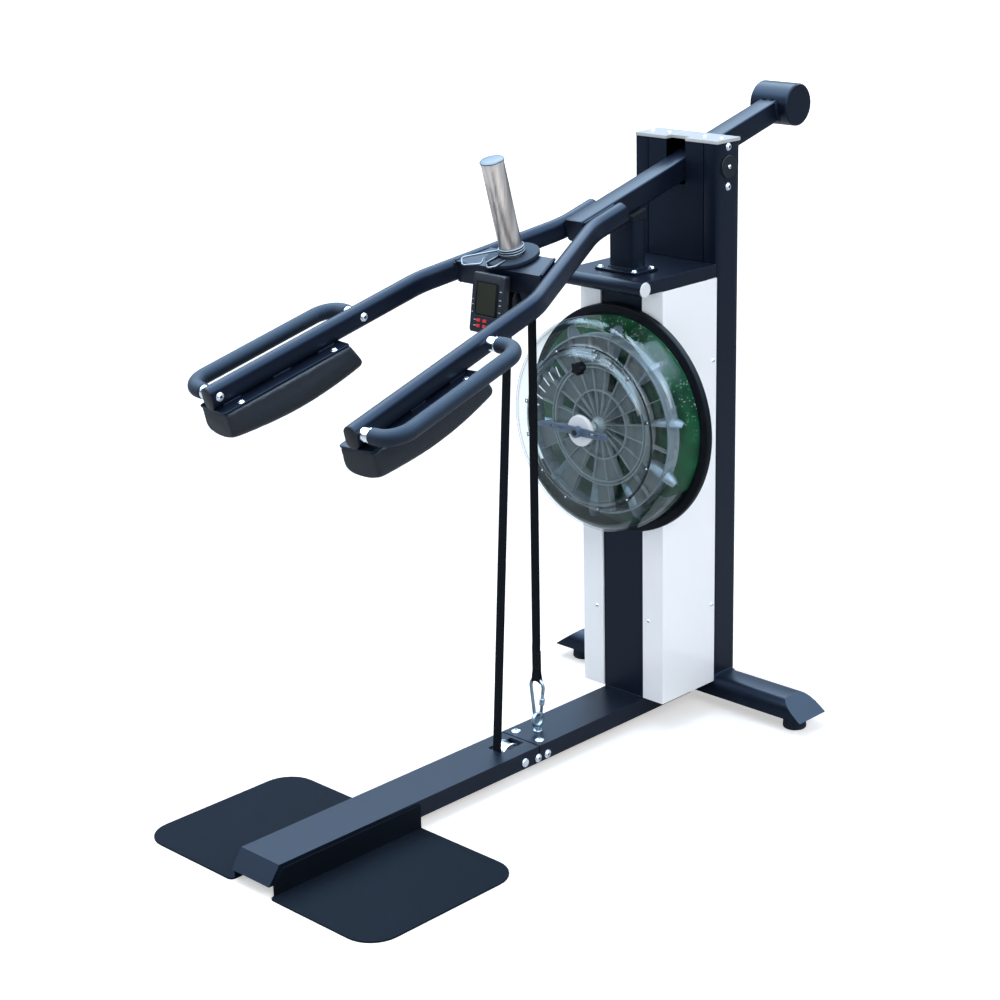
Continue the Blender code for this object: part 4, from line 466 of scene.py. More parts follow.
# Rubber feet: black rubber moulded round a bolt, one under each end of the rear tube. The disc on the weight
# post is of the same rubber.
rubber = Finish("moulded_rubber", {"Specular IOR Level": 0.30, "Specular Tint": (0.55, 0.75, 1.0)})
dust, pores = rubber.noise(38, 4), rubber.noise(2100, 2)
rubber.feed(base_color=rubber.mix(dust.step(0.35, 0.8), (0.006, 0.008, 0.012), (0.011, 0.014, 0.020)),
            roughness=0.62 + 0.16 * dust)
rubber.bump(pores, 0.00010, 0.6)
dress(rubber, 0.0012, "rear_pad_left", "rear_pad_right")

# Side panels: thin sheet folded round the column's sides, in gloss white lacquer. Small screws hold each one
# in front and at its rear edge.
gloss_white = Finish("gloss_white", {"Coat Weight": 1.0, "Coat Roughness": 0.035})
drift = gloss_white.noise(2.2, 2)
gloss_white.feed(base_color=gloss_white.mix(drift, (0.90, 0.92, 0.93), (0.93, 0.94, 0.95)),
                 roughness=0.30 + 0.08 * gloss_white.noise(60, 2))
gloss_white.bump(gloss_white.noise(110, 2), 0.00006, 0.25)
dress(gloss_white, 0.0007, "side_panel_left", "side_panel_right")
panel_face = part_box("side_panel_right")[0].y - FACE
panel_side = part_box("side_panel_right")[1].x
screws("panel_screws", [(at(x, panel_face, 0.269), FRONT) for x in (-0.080, 0.080)]
       + [(at(x, 0.174, z), (x, 0, 0)) for x in (-panel_side, panel_side) for z in (0.270, 0.868)],
       radius=0.0044, rise=0.0024)

# Dark sheets between the uprights, with a slot for the arm and their edges folded back, and the white plastic
# plate on top.
dress(navy, 0.0006, "upper_panel", "back_panel")
SHEET_SIDE, RETURN_SHEET, RETURN_DEEP, RETURN_TOP = 0.0803, 0.0013, 0.0098, 1.3600
returns = []
for near, low in ((0.1892, 1.0915), (0.2530, 0.0950)):
    for x in (-SHEET_SIDE, SHEET_SIDE - RETURN_SHEET):
        returns.append(slab([at(x + across, near + deep, low) for across, deep in
                             ((0, 0), (RETURN_SHEET, 0), (RETURN_SHEET, RETURN_DEEP), (0, RETURN_DEEP))],
                            UP * (RETURN_TOP - low)))
make("panel_returns", joined(returns), navy)


def white_plastic(name, dark, light):
    return drifting(name, {"Specular IOR Level": 0.2}, (9, 3), dark, light, rough=(0.34, 0.10), grain=(1300, 2),
                    deep=0.00006)


# A darker copy of the white plastic on the top plate: painted shade to offset the strong light on its upward face.
dress(white_plastic("white_plastic_shaded_for_top_light", (0.415, 0.425, 0.43), (0.455, 0.46, 0.465)), 0.0014, "top_plate")
white = white_plastic("white_plastic", (0.66, 0.69, 0.71), (0.72, 0.74, 0.76))
plate_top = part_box("top_plate")[1].z
screws("top_plate_screws", [(at(x, PIVOT_BACK, plate_top), UP) for x in (-0.101, -0.052, 0.052, 0.101)],
       radius=0.0050, rise=0.0026)

# Shelf: sheet with its sides turned down and its front edge rolled round a tube. Two white caps close the
# tube's ends.
dress(navy, 0.0008, "shelf")
dress(white, 0.0012, "shelf_cap_left", "shelf_cap_right", angle=40)

# Stop post: a square tube welded on a plate that four screws hold to the shelf, with a rubber block on top
# for the lever to rest on.
dress(navy, 0.0010, "stop_post")
black_rubber = drifting("black_rubber", {"Specular IOR Level": 0.12}, (38, 4), (0.0026, 0.0032, 0.0048),
                        (0.0050, 0.0062, 0.0090), rough=(0.60, 0.16), grain=(2100, 2), deep=0.00010, strength=0.6)
dress(black_rubber, 0.0014, "bumper")
shelf_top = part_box("shelf")[1].z
plate_z = shelf_top + 0.0063
screws("stop_screws", [(at(x, y, plate_z), UP) for x in (-0.050, 0.050) for y in (-0.016, 0.044)],
       radius=0.0056, washer=0.0078)
around = [at(x, y, plate_z + 0.0006) for x, y in ((-0.0360, -0.0034), (0.0360, -0.0034), (0.0360, 0.0402),
                                                  (-0.0360, 0.0402))]
make("stop_weld", weld(around, 0.0028, True), navy)

# Pivot: an axle through the arm, in flanged bearings with moulded covers outside the uprights. Each end is
# closed by a screw.
moulded = drifting("black_moulding", {"Specular IOR Level": 0.22}, (14, 3), (0.0045, 0.0055, 0.0080),
                   (0.0085, 0.0100, 0.0140), rough=(0.36, 0.12), grain=(1900, 2), deep=0.00007)
dress(moulded, 0.0008, "pivot_bearing_left", "pivot_bearing_right", angle=24)
dress(moulded, 0.0006, "pivot_axle")
pivot_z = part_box("pivot_axle")[0].z + 0.0125
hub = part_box("pivot_bearing_right")[1].x
screws("hub_screws", [(at(x, PIVOT_BACK, pivot_z), (x, 0, 0)) for x in (-hub, hub)], radius=0.0048)
post_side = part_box("upright_right")[1].x
screws("upright_screws", [(at(x, PIVOT_BACK, z), (x, 0, 0)) for x in (-post_side, post_side)
                          for z in (1.352, 1.262)], radius=0.0070, washer=0.0088)

# Lever: a square tube on the pivot axle, with a solid steel cylinder welded on behind as a counterweight.
# At rest it lies on the bumper and slopes down to the front.
SLOPE, ARM_HALF = radians(15.05), 0.025
RISE, AHEAD = Vector((0, -sin(SLOPE), cos(SLOPE))), Vector((0, -cos(SLOPE), -sin(SLOPE)))
WEIGHT_BACK, WEIGHT_RADIUS, ARM_FRONT = 0.360, 0.050, 0.391


def lever(x, forward, rise):
    """A place on the lever at rest: across it, forward of the pivot, and above the arm's middle."""
    return at(x, PIVOT_BACK - forward * cos(SLOPE), pivot_z - forward * sin(SLOPE)) + RISE * rise


def rounded_path(corners, radius, steps, closed=False):
    """A path through the corners, each turned into an arc."""
    corners = [Vector(c) for c in corners]
    points = [] if closed else [corners[0]]
    count = len(corners)
    for i in range(count) if closed else range(1, count - 1):
        corner = corners[i]
        back, on = (corners[i - 1] - corner).normalized(), (corners[(i + 1) % count] - corner).normalized()
        half = back.angle(on) / 2
        centre = corner + (back + on).normalized() * (radius / sin(half))
        first, last = corner + back * (radius / tan(half)), corner + on * (radius / tan(half))
        turn = pi - 2 * half
        points += [centre + (first - centre) * (sin((1 - k / steps) * turn) / sin(turn))
                   + (last - centre) * (sin(k / steps * turn) / sin(turn)) for k in range(steps + 1)]
    return points if closed else points + [corners[-1]]


def weight_surface(rise):
    """How far forward the counterweight's round reaches at a height."""
    return sqrt(WEIGHT_RADIUS ** 2 - rise ** 2) - WEIGHT_BACK


dress(navy, 0.0012, "main_arm")
square = rounded_path([lever(x, ARM_FRONT + GAP, rise) for x, rise in
                       ((-ARM_HALF, -ARM_HALF), (ARM_HALF, -ARM_HALF), (ARM_HALF, ARM_HALF), (-ARM_HALF, ARM_HALF))],
                      0.004, 5, True)
make("arm_end_plate", slab(square, AHEAD * 0.003), navy, "lever", edge=0.0006)
heights = [ARM_HALF * (1 - k / 4) for k in range(9)]
loop = [lever(ARM_HALF, weight_surface(h), h) for h in heights]
loop += [lever(-ARM_HALF, weight_surface(h), h) for h in reversed(heights)]
make("counterweight_weld", weld(loop, 0.0034, True), navy, "lever")

# Side tubes: flat-sided oval tube, bent twice and welded along the arm. Black plugs close the ends, and a
# plate welded under each front stretch carries a shoulder pad.
TUBE_WIDTH, TUBE_REAR, TUBE_FRONT, TUBE_BEND = 0.034, 0.283, 1.290, 0.160
BEND_ONE, BEND_TWO, BEND_TWO_OUT, FRONT_OUT = 0.385, 0.715, 0.173, 0.2155
TUBE_IN = ARM_HALF + GAP + TUBE_WIDTH / 2
FLARE = atan((FRONT_OUT - BEND_TWO_OUT) / (TUBE_FRONT - BEND_TWO))
PLATE_REAR, PLATE_FRONT, PLATE_HALF, PLATE_SHEET = 0.956, 1.289, 0.0445, 0.004
HANDS, HANDLE_REAR, HANDLE_FRONT = ((-1, "left"), (1, "right")), 0.887, 1.272


def oval(width, height, steps=14):
    """Flat sides and two half-round ends."""
    r = width / 2
    return bend(0, height / 2 - r, r, 0, pi, steps) + bend(0, r - height / 2, r, pi, 2 * pi, steps)


def beside(side, forward, out, rise=0.0):
    """A place measured square off the front stretch of a side tube."""
    middle = BEND_TWO_OUT + (forward - BEND_TWO) * tan(FLARE)
    return lever(side * (middle + out * cos(FLARE)), forward - out * sin(FLARE), rise)


def outward(side):
    return (beside(side, 1, 1) - beside(side, 1, 0)).normalized()


for side, hand in HANDS:
    corners = [(TUBE_IN, TUBE_REAR), (TUBE_IN, BEND_ONE), (BEND_TWO_OUT, BEND_TWO), (FRONT_OUT, TUBE_FRONT)]
    path = rounded_path([lever(side * x, forward, 0) for x, forward in corners], TUBE_BEND, 14)
    section = oval(TUBE_WIDTH, 2 * ARM_HALF)
    plate = rounded_path([beside(side, forward, out, -ARM_HALF - PLATE_SHEET) for forward, out in
                          ((PLATE_REAR, -PLATE_HALF), (PLATE_REAR, PLATE_HALF), (PLATE_FRONT, PLATE_HALF),
                           (PLATE_FRONT, -PLATE_HALF))], 0.006, 5, True)
    make(f"oval_tube_{hand}", joined([swept(path, section, SIDE), slab(plate, RISE * (PLATE_SHEET + 0.0006))]),
         navy, "lever", (f"side_tube_{hand}",), edge=0.0008, angle=50)
    plugs = []
    for end, inside in ((path[0], path[1]), (path[-1], path[-2])):
        way = (end - inside).normalized()
        plugs.append(swept([end + way * 0.0003, end + way * 0.0014, end + way * 0.0021],
                           [(0.985 * u, 0.985 * v) for u, v in section], SIDE, sizes=(1, 1, 0.94)))
    make(f"tube_plugs_{hand}", joined(plugs), moulded, "lever")
    beads = []
    groove, groove_rise = side * (ARM_HALF + 0.0022), ARM_HALF - 0.0058
    for rise in (-groove_rise, groove_rise):
        beads.append(weld([lever(groove, TUBE_REAR + 0.006, rise), lever(groove, ARM_FRONT - 0.002, rise)]))
    beads.append(weld([lever(side * (ARM_HALF - 0.0008), ARM_FRONT + 0.0008, rise) for rise in (-0.021, 0.021)]))
    for start in (0.972, 1.092, 1.222):
        for out in (-0.0105, 0.0105):
            beads.append(weld([beside(side, forward, out, -ARM_HALF + 0.0016) for forward in (start, start + 0.045)]))
    make(f"tube_welds_{hand}", joined(beads), navy, "lever")
    screws(f"handle_bolts_{hand}", [(beside(side, forward, -TUBE_WIDTH / 2), -outward(side))
                                    for forward in (HANDLE_REAR, HANDLE_FRONT)], "lever",
           radius=0.0074, rise=0.0042, washer=0.0094)
    screws(f"pad_screws_{hand}", [(beside(side, forward, out, -ARM_HALF), RISE) for forward in (0.991, 1.238)
                                  for out in (-0.0335, 0.0335)], "lever",
           radius=0.0058, rise=0.0032, washer=0.0076)

# Crossbar: a square box welded between the side tubes. It carries the weight post on top, the pulley's fork
# below, and a bent tongue for the monitor in front.
dress(navy, 0.0010, "crossbar")
BAR_REAR, BAR_FRONT = 0.563, 0.643
SPLAY = atan((BEND_TWO_OUT - TUBE_IN) / (BEND_TWO - BEND_ONE))
beads = []
for side, hand in HANDS:
    inner = [(TUBE_IN + (forward - BEND_ONE) * tan(SPLAY) - TUBE_WIDTH / 2 / cos(SPLAY), forward)
             for forward in (BAR_REAR + 0.002, BAR_FRONT - 0.002)]
    for rise in (-ARM_HALF + 0.0010, ARM_HALF - 0.0010):
        beads.append(weld([lever(side * (x + 0.0012), forward, rise) for x, forward in inner], 0.0036))
    x, forward = inner[1]
    beads.append(weld([lever(side * (x - 0.0004), forward + 0.0024, rise) for rise in (-0.022, 0.022)], 0.0028))
make("crossbar_welds", joined(beads), navy, "lever")

# Handles: bent steel rod with a bright collar at each end, bolted through the side tube. A foam sleeve
# covers all of the rod, and creases a little inside its bends.
chrome = drifting("bright_chrome", {"Metallic": 1.0}, (30, 3), (0.66, 0.69, 0.73), (0.80, 0.82, 0.84),
                  rough=(0.08, 0.10), grain=(420, 2), deep=0.00003, strength=0.25)
foam = Finish("foam_sleeve", {"Specular IOR Level": 0.30, "Specular Tint": (0.50, 0.72, 1.0),
                              "Sheen Weight": 0.05, "Sheen Roughness": 0.5})
cells, press = foam.noise(1500, 3), foam.noise(16, 3)
foam.feed(base_color=foam.mix(press, (0.0035, 0.0055, 0.0095), (0.0055, 0.0085, 0.0145)),
          roughness=0.50 + 0.12 * press + 0.10 * cells)
foam.bump(cells + 0.5 * foam.noise(480, 2), 0.00022, 0.6)
HANDLE_REACH, HANDLE_BEND = 0.100, 0.046
ROD, RING, RING_LENGTH, SLEEVE = 0.011, 0.0155, 0.018, 0.017


def sleeve(corners, radius, fold, steps=32):
    """A foam tube round a bent rod: rounded at its ends, and creased on the inside of its bends."""
    path = []
    coarse = rounded_path(corners, fold, 26)
    for start, end in zip(coarse, coarse[1:]):
        parts = max(1, round((end - start).length / 0.0035))
        path += [start.lerp(end, k / parts) for k in range(parts)]
    path.append(coarse[-1])
    lengths = [0.0]
    for before, after in zip(path, path[1:]):
        lengths.append(lengths[-1] + (after - before).length)
    rings = []
    for i, point in enumerate(path):
        before, after = path[max(i - 1, 0)], path[min(i + 1, len(path) - 1)]
        on = (after - before).normalized()
        wide = RISE.cross(on).normalized()
        pull = (before + after) / 2 - point
        inward = pull.normalized() if pull.length > 0.00001 else None
        edge = min(lengths[i], lengths[-1] - lengths[i])
        round_off = 1 - 0.16 * max(0.0, 1 - edge / 0.0035) ** 2
        ring = []
        for k in range(steps):
            turn = 2 * pi * k / steps
            way = wide * cos(turn) + RISE * sin(turn)
            inside = max(0.0, way.dot(inward)) if inward else 0.0
            crease = 0.00055 * inside ** 2 * sin(2 * pi * lengths[i] / 0.0085)
            ring.append(point + way * (radius * round_off + crease))
        rings.append(ring)
    return skinned(rings)


for side, hand in HANDS:
    wall = TUBE_WIDTH / 2 + GAP
    bends = [beside(side, HANDLE_FRONT, HANDLE_REACH), beside(side, HANDLE_REAR, HANDLE_REACH)]
    ends = [beside(side, forward, wall + 0.002) for forward in (HANDLE_FRONT, HANDLE_REAR)]
    shapes = [swept(rounded_path([ends[0], *bends, ends[1]], HANDLE_BEND, 12), circle(ROD), RISE)]
    ring = [(ROD - 0.001, 0), (RING - 0.0006, 0), (RING, 0.0008), (RING, RING_LENGTH - 0.0012),
            (RING - 0.0010, RING_LENGTH), (ROD - 0.001, RING_LENGTH)]
    shapes += [turned(ring, beside(side, forward, wall), outward(side), 48, True)
               for forward in (HANDLE_FRONT, HANDLE_REAR)]
    make(f"handle_rod_{hand}", joined(shapes), chrome, "lever", (f"handle_{hand}",))
    edge = wall + RING_LENGTH + GAP
    foam_line = [beside(side, HANDLE_FRONT, edge), *bends, beside(side, HANDLE_REAR, edge)]
    make(f"foam_sleeve_{hand}", sleeve(foam_line, SLEEVE, HANDLE_BEND), foam, "lever",
                   (f"grip_{hand}",))

# Shoulder pads: firm foam wedges in black vinyl, raked at the rear. The cover is drawn up round the base
# board, and swells a little between its edges.
vinyl = Finish("pad_vinyl", {"Specular IOR Level": 0.26})
grain = vinyl.node("TexVoronoi", {"feature": "DISTANCE_TO_EDGE"}, {"Vector": vinyl.place, "Scale": 620})
rub, fine = vinyl.noise(11, 4), vinyl.noise(1800, 2)
vinyl.feed(base_color=vinyl.mix(rub, (0.0045, 0.0060, 0.0095), (0.0075, 0.0100, 0.0155)),
           roughness=0.40 + 0.16 * rub + 0.08 * fine)
vinyl.bump(grain.step(0.0, 0.12) + 0.4 * fine + 1.6 * vinyl.noise(60, 2), 0.00022, 0.5)
PAD_REAR, PAD_FRONT, PAD_WIDTH, PAD_DEPTH, PAD_BELLY, PAD_SWELL = 0.952, 1.289, 0.101, 0.064, 0.014, 0.005
PAD_RAKE, PAD_ROUND, PAD_TOP = 0.030, 0.019, -ARM_HALF - PLATE_SHEET - GAP


def pad_rings(side, slack):
    """Rings of a pad from rear to front, drawn in by a slack that the swelling makes good."""
    length, rings = PAD_FRONT - PAD_REAR, []
    ends = [(0.010 * (1 - cos(t)), 0.007 * (1 - sin(t))) for t in (0.3, 0.8, pi / 2)]
    stations = [(slack + along, inset) for along, inset in ends]
    stations += [(length * k / 12, 0) for k in range(1, 12)]
    stations += [(length - slack - along, 0.6 * inset) for along, inset in reversed(ends)]
    for along, inset in stations:
        crown = sin(pi * along / length)
        half = PAD_WIDTH / 2 + PAD_SWELL * crown - inset - slack
        deep = PAD_DEPTH + PAD_BELLY * crown - inset - slack
        outline = [(-half + 0.0035, 0), (half - 0.0035, 0), (half - 0.0012, -0.0022), (half - 0.0005, -0.40 * deep)]
        low = PAD_ROUND + 0.004 - deep
        outline += bend(half - PAD_ROUND, low, PAD_ROUND, 0, -pi / 2)
        outline += [(0.3 * half, 0.001 - deep), (0, -deep), (-0.3 * half, 0.001 - deep)]
        outline += bend(PAD_ROUND - half, low, PAD_ROUND, -pi / 2, -pi)
        outline += [(0.0005 - half, -0.40 * deep), (0.0012 - half, -0.0022)]
        rings.append([beside(side, PAD_REAR + along + PAD_RAKE * drop / PAD_DEPTH * (1 - along / length), out,
                             PAD_TOP + drop) for out, drop in outline])
    return rings


def swell(pad, voxel, pressure, most):
    """Remeshes a pad evenly, blows its cover up as cloth, and moves no point by more than the most."""
    bpy.context.view_layer.objects.active = pad
    remesh = pad.modifiers.new("even", "REMESH")
    remesh.mode, remesh.voxel_size = "VOXEL", voxel
    bpy.ops.object.modifier_apply(modifier="even")
    start = [v.co.copy() for v in pad.data.vertices]
    cloth = pad.modifiers.new("cover", "CLOTH")
    cloth.settings.use_pressure, cloth.settings.uniform_pressure_force = True, pressure
    cloth.settings.effector_weights.gravity = 0
    cloth.settings.quality = 6
    for frame_number in range(1, 21):
        bpy.context.scene.frame_set(frame_number)
    shaped = pad.evaluated_get(bpy.context.evaluated_depsgraph_get()).data
    push = [min(most, max(0.0, (after.co - before).dot(vertex.normal)))
            for vertex, before, after in zip(pad.data.vertices, start, shaped.vertices)]
    pad.modifiers.remove(cloth)
    bpy.context.scene.frame_set(1)
    near = [[] for _ in push]
    for one, other in (edge.vertices for edge in pad.data.edges):
        near[one].append(other)
        near[other].append(one)
    for _ in range(14):
        push = [(p + sum(push[k] for k in others)) / (1 + len(others)) for p, others in zip(push, near)]
    top = lever(0, 0, PAD_TOP).dot(RISE)
    normals = [vertex.normal.copy() for vertex in pad.data.vertices]
    for vertex, before, normal, out in zip(pad.data.vertices, start, normals, push):
        after = before + normal * out
        vertex.co = after - RISE * max(0.0, after.dot(RISE) - top)
    smooth = pad.modifiers.new("fine", "SUBSURF")
    smooth.levels = smooth.render_levels = 1


for side, hand in HANDS:
    slack = 0.0028
    pad = make(f"pad_cover_{hand}", skinned(pad_rings(side, slack)), vinyl, "lever", (f"shoulder_pad_{hand}",),
               angle=180)
    swell(pad, voxel=0.0045, pressure=4.0, most=0.0034)

# Monitor: a black plastic case tilted up to the user, with a dark window over a grey-green display. The
# scales beside it are bare marks, and its four buttons are red rubber.
TILT, TOP_FORWARD, TOP_RISE = radians(23.6), 0.668, 0.024
CASE_WIDTH, CASE_HEIGHT, CASE_DEPTH, CASE_CORNER = 0.092, 0.128, 0.024, 0.006
LENS_WIDTH, LENS_HEIGHT, LENS_DROP = 0.066, 0.072, 0.0185
case_finish = drifting("monitor_case", {"Specular IOR Level": 0.28}, (30, 3), (0.0085, 0.0110, 0.0165),
                       (0.0135, 0.0170, 0.0245), rough=(0.34, 0.12), grain=(1700, 2), deep=0.00006, strength=0.6)


def on_monitor(x, down, out):
    """A place on the monitor: across, down its face from the top edge, and out of the face."""
    return lever(x, TOP_FORWARD + down * sin(TILT) + out * cos(TILT), TOP_RISE - down * cos(TILT) + out * sin(TILT))


def frame_on_monitor(width, height, down, out, corner, steps=6):
    half = width / 2
    return rounded_path([on_monitor(x, down + d, out) for x, d in
                         ((-half, 0), (half, 0), (half, height), (-half, height))], corner, steps, True)


def mark_on_monitor(x, down, width, height, thick=0.00025):
    corners = [on_monitor(x + dx * width, down + dd * height, 0) for dx, dd in
               ((-0.5, -0.5), (0.5, -0.5), (0.5, 0.5), (-0.5, 0.5))]
    return slab(corners, on_monitor(0, 0, thick) - on_monitor(0, 0, 0))


rings = [frame_on_monitor(CASE_WIDTH - 2 * inset, CASE_HEIGHT - 2 * inset, inset, out, CASE_CORNER)
         for out, inset in ((-CASE_DEPTH, 0.006), (-CASE_DEPTH + 0.002, 0.0025), (-CASE_DEPTH + 0.005, 0.0006),
                            (-0.0045, 0.0), (-0.0016, 0.0004), (-0.0004, 0.0014), (0, 0.0030))]
rings += [frame_on_monitor(LENS_WIDTH + 2 * lip, LENS_HEIGHT + 2 * lip, LENS_DROP - lip, out, 0.0030)
          for out, lip in ((0, 0.0006), (-0.0004, 0.0003), (-0.0023, 0.0003))]
make("monitor_shell", skinned(rings), case_finish, "lever", ("monitor_case",), angle=40)
window = Finish("monitor_window", {"Specular IOR Level": 0.22})
across, down_way = window.place.along(SIDE), on_monitor(0, 1, 0) - on_monitor(0, 0, 0)
down_face = window.place.along(down_way) - on_monitor(0, LENS_DROP, 0).dot(down_way)
display = (across.step(-0.0302, -0.0298) * (1 - across.step(0.0243, 0.0247)) * down_face.step(0.0024, 0.0028)
           * (1 - down_face.step(0.0692, 0.0696)))
cells = window.node("TexChecker", {}, {"Vector": window.place, "Scale": 900}, "Fac")
window.feed(base_color=window.mix(display, (0.0040, 0.0048, 0.0065),
                                  window.mix(cells * 0.25 + window.noise(24, 3) * 0.5, (0.0125, 0.0150, 0.0095),
                                             (0.0195, 0.0225, 0.0140))),
            roughness=0.16 + 0.20 * display)
window.bump(window.noise(900, 2), 0.00003, 0.3)
make("monitor_glass", slab(frame_on_monitor(LENS_WIDTH, LENS_HEIGHT, LENS_DROP, -0.0020, 0.0027),
                           on_monitor(0, 0, 0.0016) - on_monitor(0, 0, 0)),
     window, "lever", ("monitor_lens",), edge=0.0003, angle=50)
marking = drifting("white_marking", {"Specular IOR Level": 0.3}, (900, 2), (0.78, 0.82, 0.86), (0.90, 0.92, 0.94),
                   rough=(0.5, 0.2), deep=0.00003, strength=0.4)
marks = [(0.0395, down, 0.0062, 0.0009) for down in (0.034, 0.052, 0.063, 0.078)]
marks += [(-0.0400, down, 0.0050, 0.0009) for down in (0.058, 0.069, 0.085)]
marks += [(-0.0300, LENS_DROP + LENS_HEIGHT + row, 0.0060, 0.0009) for row in (0.0105, 0.0225)]
make("monitor_marks", joined([mark_on_monitor(*mark) for mark in marks]), marking, "lever")
red = drifting("red_rubber", {"Specular IOR Level": 0.4}, (300, 3), (0.55, 0.018, 0.020), (0.72, 0.035, 0.035),
               rough=(0.42, 0.16), grain=(2400, 2), deep=0.00005)
dress(red, 0.0006, *[f"monitor_button_{k}" for k in range(1, 5)])

# Weight post: bright steel tube standing square on the crossbar, brushed round and rubbed by the plates. A
# plastic cap closes it, and a rubber disc at its foot carries the load.
POST_FORWARD, POST_RADIUS, POST_TOP, DISC_RADIUS, DISC_HEIGHT = 0.590, 0.025, 0.2465, 0.059, 0.010
post_low = ARM_HALF + GAP
steel = Finish("brushed_post", {"Metallic": 1.0, "Anisotropic": 0.5})
around = steel.place.vector("MULTIPLY", (1, 1, 0.02))
brush = steel.noise(420, 4, around)
# The long upright streaks and the warm tone in the steel's colour are partly wear from the plates and partly painted
# reflection bands.
rubbed_and_reflection_streaks = steel.noise(75, 4, steel.place.vector("MULTIPLY", (1, 1, 0.07)))
scuff = steel.noise(75, 6).step(0.60, 0.72)
steel.feed(base_color=steel.mix(rubbed_and_reflection_streaks.step(0.34, 0.66), (0.44, 0.39, 0.355), (0.76, 0.68, 0.62)),
           roughness=0.24 + 0.14 * brush + 0.22 * scuff)
steel.bump(brush + 0.6 * scuff, 0.00006, 0.5)
wall = POST_RADIUS - 0.003
tube = [(wall, post_low), (POST_RADIUS - 0.0006, post_low), (POST_RADIUS, post_low + 0.0006),
        (POST_RADIUS, POST_TOP - 0.0006), (POST_RADIUS - 0.0006, POST_TOP), (wall, POST_TOP)]
post_foot = lever(0, POST_FORWARD, 0)
make("post_tube", turned(tube, post_foot, RISE, 96, True), steel, "lever", ("weight_post",))
lid_finish = drifting("post_lid", {"Specular IOR Level": 0.5}, (90, 4), (0.070, 0.095, 0.130), (0.095, 0.130, 0.165),
                      rough=(0.30, 0.2), grain=(1500, 2), deep=0.00008)
lid = [(0, POST_TOP + 0.0052), (0.018, POST_TOP + 0.0049), (0.0245, POST_TOP + 0.0040), (0.0264, POST_TOP + 0.0026),
       (0.0268, POST_TOP + GAP), (wall - GAP, POST_TOP + GAP), (wall - 0.0008, POST_TOP - 0.016),
       (0, POST_TOP - 0.016)]
make("post_lid", turned(lid, post_foot, RISE), lid_finish, "lever", ("post_cap",))
disc_top = post_low + DISC_HEIGHT
LOW_ROUND, TOP_ROUND = 0.0022, 0.0030
disc = [(POST_RADIUS + GAP, post_low), (DISC_RADIUS - LOW_ROUND, post_low)]
disc += bend(DISC_RADIUS - LOW_ROUND, post_low + LOW_ROUND, LOW_ROUND, -pi / 2, 0, 5)
disc += bend(DISC_RADIUS - TOP_ROUND, disc_top - TOP_ROUND, TOP_ROUND, 0, pi / 2, 5)
disc += [(POST_RADIUS + 0.0014, disc_top), (POST_RADIUS + GAP, disc_top - 0.0010)]
make("load_disc", turned(disc, post_foot, RISE, 96, True), rubber, "lever", ("weight_disc",))

# Spring collar: one length of plated wire, wound three times to grip the post, its ends bent into two flat
# finger loops.
WIRE, COLLAR_RISE, COLLAR_TURNS = 0.0021, 0.016, 3


def plated(name, dark, light):
    """Zinc-plated wire, dulled by handling."""
    return drifting(name, {"Metallic": 1.0}, (240, 3), dark, light, rough=(0.30, 0.16), grain=(1300, 2), deep=0.00004,
                    strength=0.3)


sprung = plated("plated_spring", (0.075, 0.085, 0.095), (0.150, 0.165, 0.180))
hook_zinc = plated("plated_hook", (0.16, 0.205, 0.24), (0.30, 0.37, 0.42))
coil_radius = POST_RADIUS + GAP + WIRE + 0.0006
coil_low = disc_top + WIRE + GAP
first_turn, whole_turn = radians(-128), radians(17) - 2 * pi * COLLAR_TURNS
steps = 44 * COLLAR_TURNS
coil = [(x, y, coil_low + COLLAR_RISE * k / steps) for k, (x, y) in
        enumerate(bend(0, 0, coil_radius, first_turn, first_turn + whole_turn, steps))]
coil_high = coil_low + COLLAR_RISE
short = [(0.012, -0.036, coil_low), (0.013, -0.066, coil_low), (0.001, -0.080, coil_low),
         (-0.022, -0.060, coil_low), (-0.021, -0.040, coil_low), coil[0]]
long = [coil[-1], (-0.072, -0.080, coil_high - 0.001), (-0.050, -0.101, coil_high - 0.006),
        (-0.014, -0.080, coil_high - 0.008), (-0.027, -0.058, coil_high - 0.006)]
wire = rounded_path(short, 0.0075, 8) + [Vector(p) for p in coil[1:-1]] + rounded_path(long, 0.0085, 8)
wire = [lever(x, POST_FORWARD - y, rise) for x, y, rise in wire]
ends = [1.0] * len(wire)
ends[0] = ends[-1] = 0.7
make("collar_wire", swept(wire, circle(WIRE, 14), RISE, sizes=ends), sprung, "collar", ("spring_collar",),
     angle=60)

# Tank: a dark back disc bolted to the column, a green facing on it, and a clear moulded drum with rounded
# shoulders, where dark water stands. A clear cover is held over the drum's mouth by a gasket and small clips.
TANK_Z, DISC_REACH, DISC_BACK, DISC_FRONT = 0.7494, 0.267, -0.0049, -0.0199
DRUM, DRUM_WALL, SHOULDER, DRUM_FACE, DRUM_BACK = 0.250, 0.0045, 0.026, -0.111, -0.0202
SEAM, STEP, LIP, COVER_FACE, COVER_SLOPE, COVER_WALL = 0.186, 0.010, 0.006, -0.140, 0.012, 0.0042
tank = at(0, 0, TANK_Z)
BACKWARD = Vector((0, 1, 0))
disc_finish = drifting("disc_moulding", {"Specular IOR Level": 0.10}, (12, 3), (0.0022, 0.0030, 0.0048),
                       (0.0040, 0.0052, 0.0078), rough=(0.42, 0.14), grain=(1400, 2), deep=0.00008)
RIM_ROUND, DISC_HOLE = 0.0045, 0.022
rim = [(DISC_HOLE, DISC_BACK), (DISC_REACH - 0.001, DISC_BACK), (DISC_REACH, DISC_BACK - 0.001)]
rim += bend(DISC_REACH - RIM_ROUND, DISC_FRONT + RIM_ROUND, RIM_ROUND, 0, -pi / 2) + [(DISC_HOLE, DISC_FRONT)]
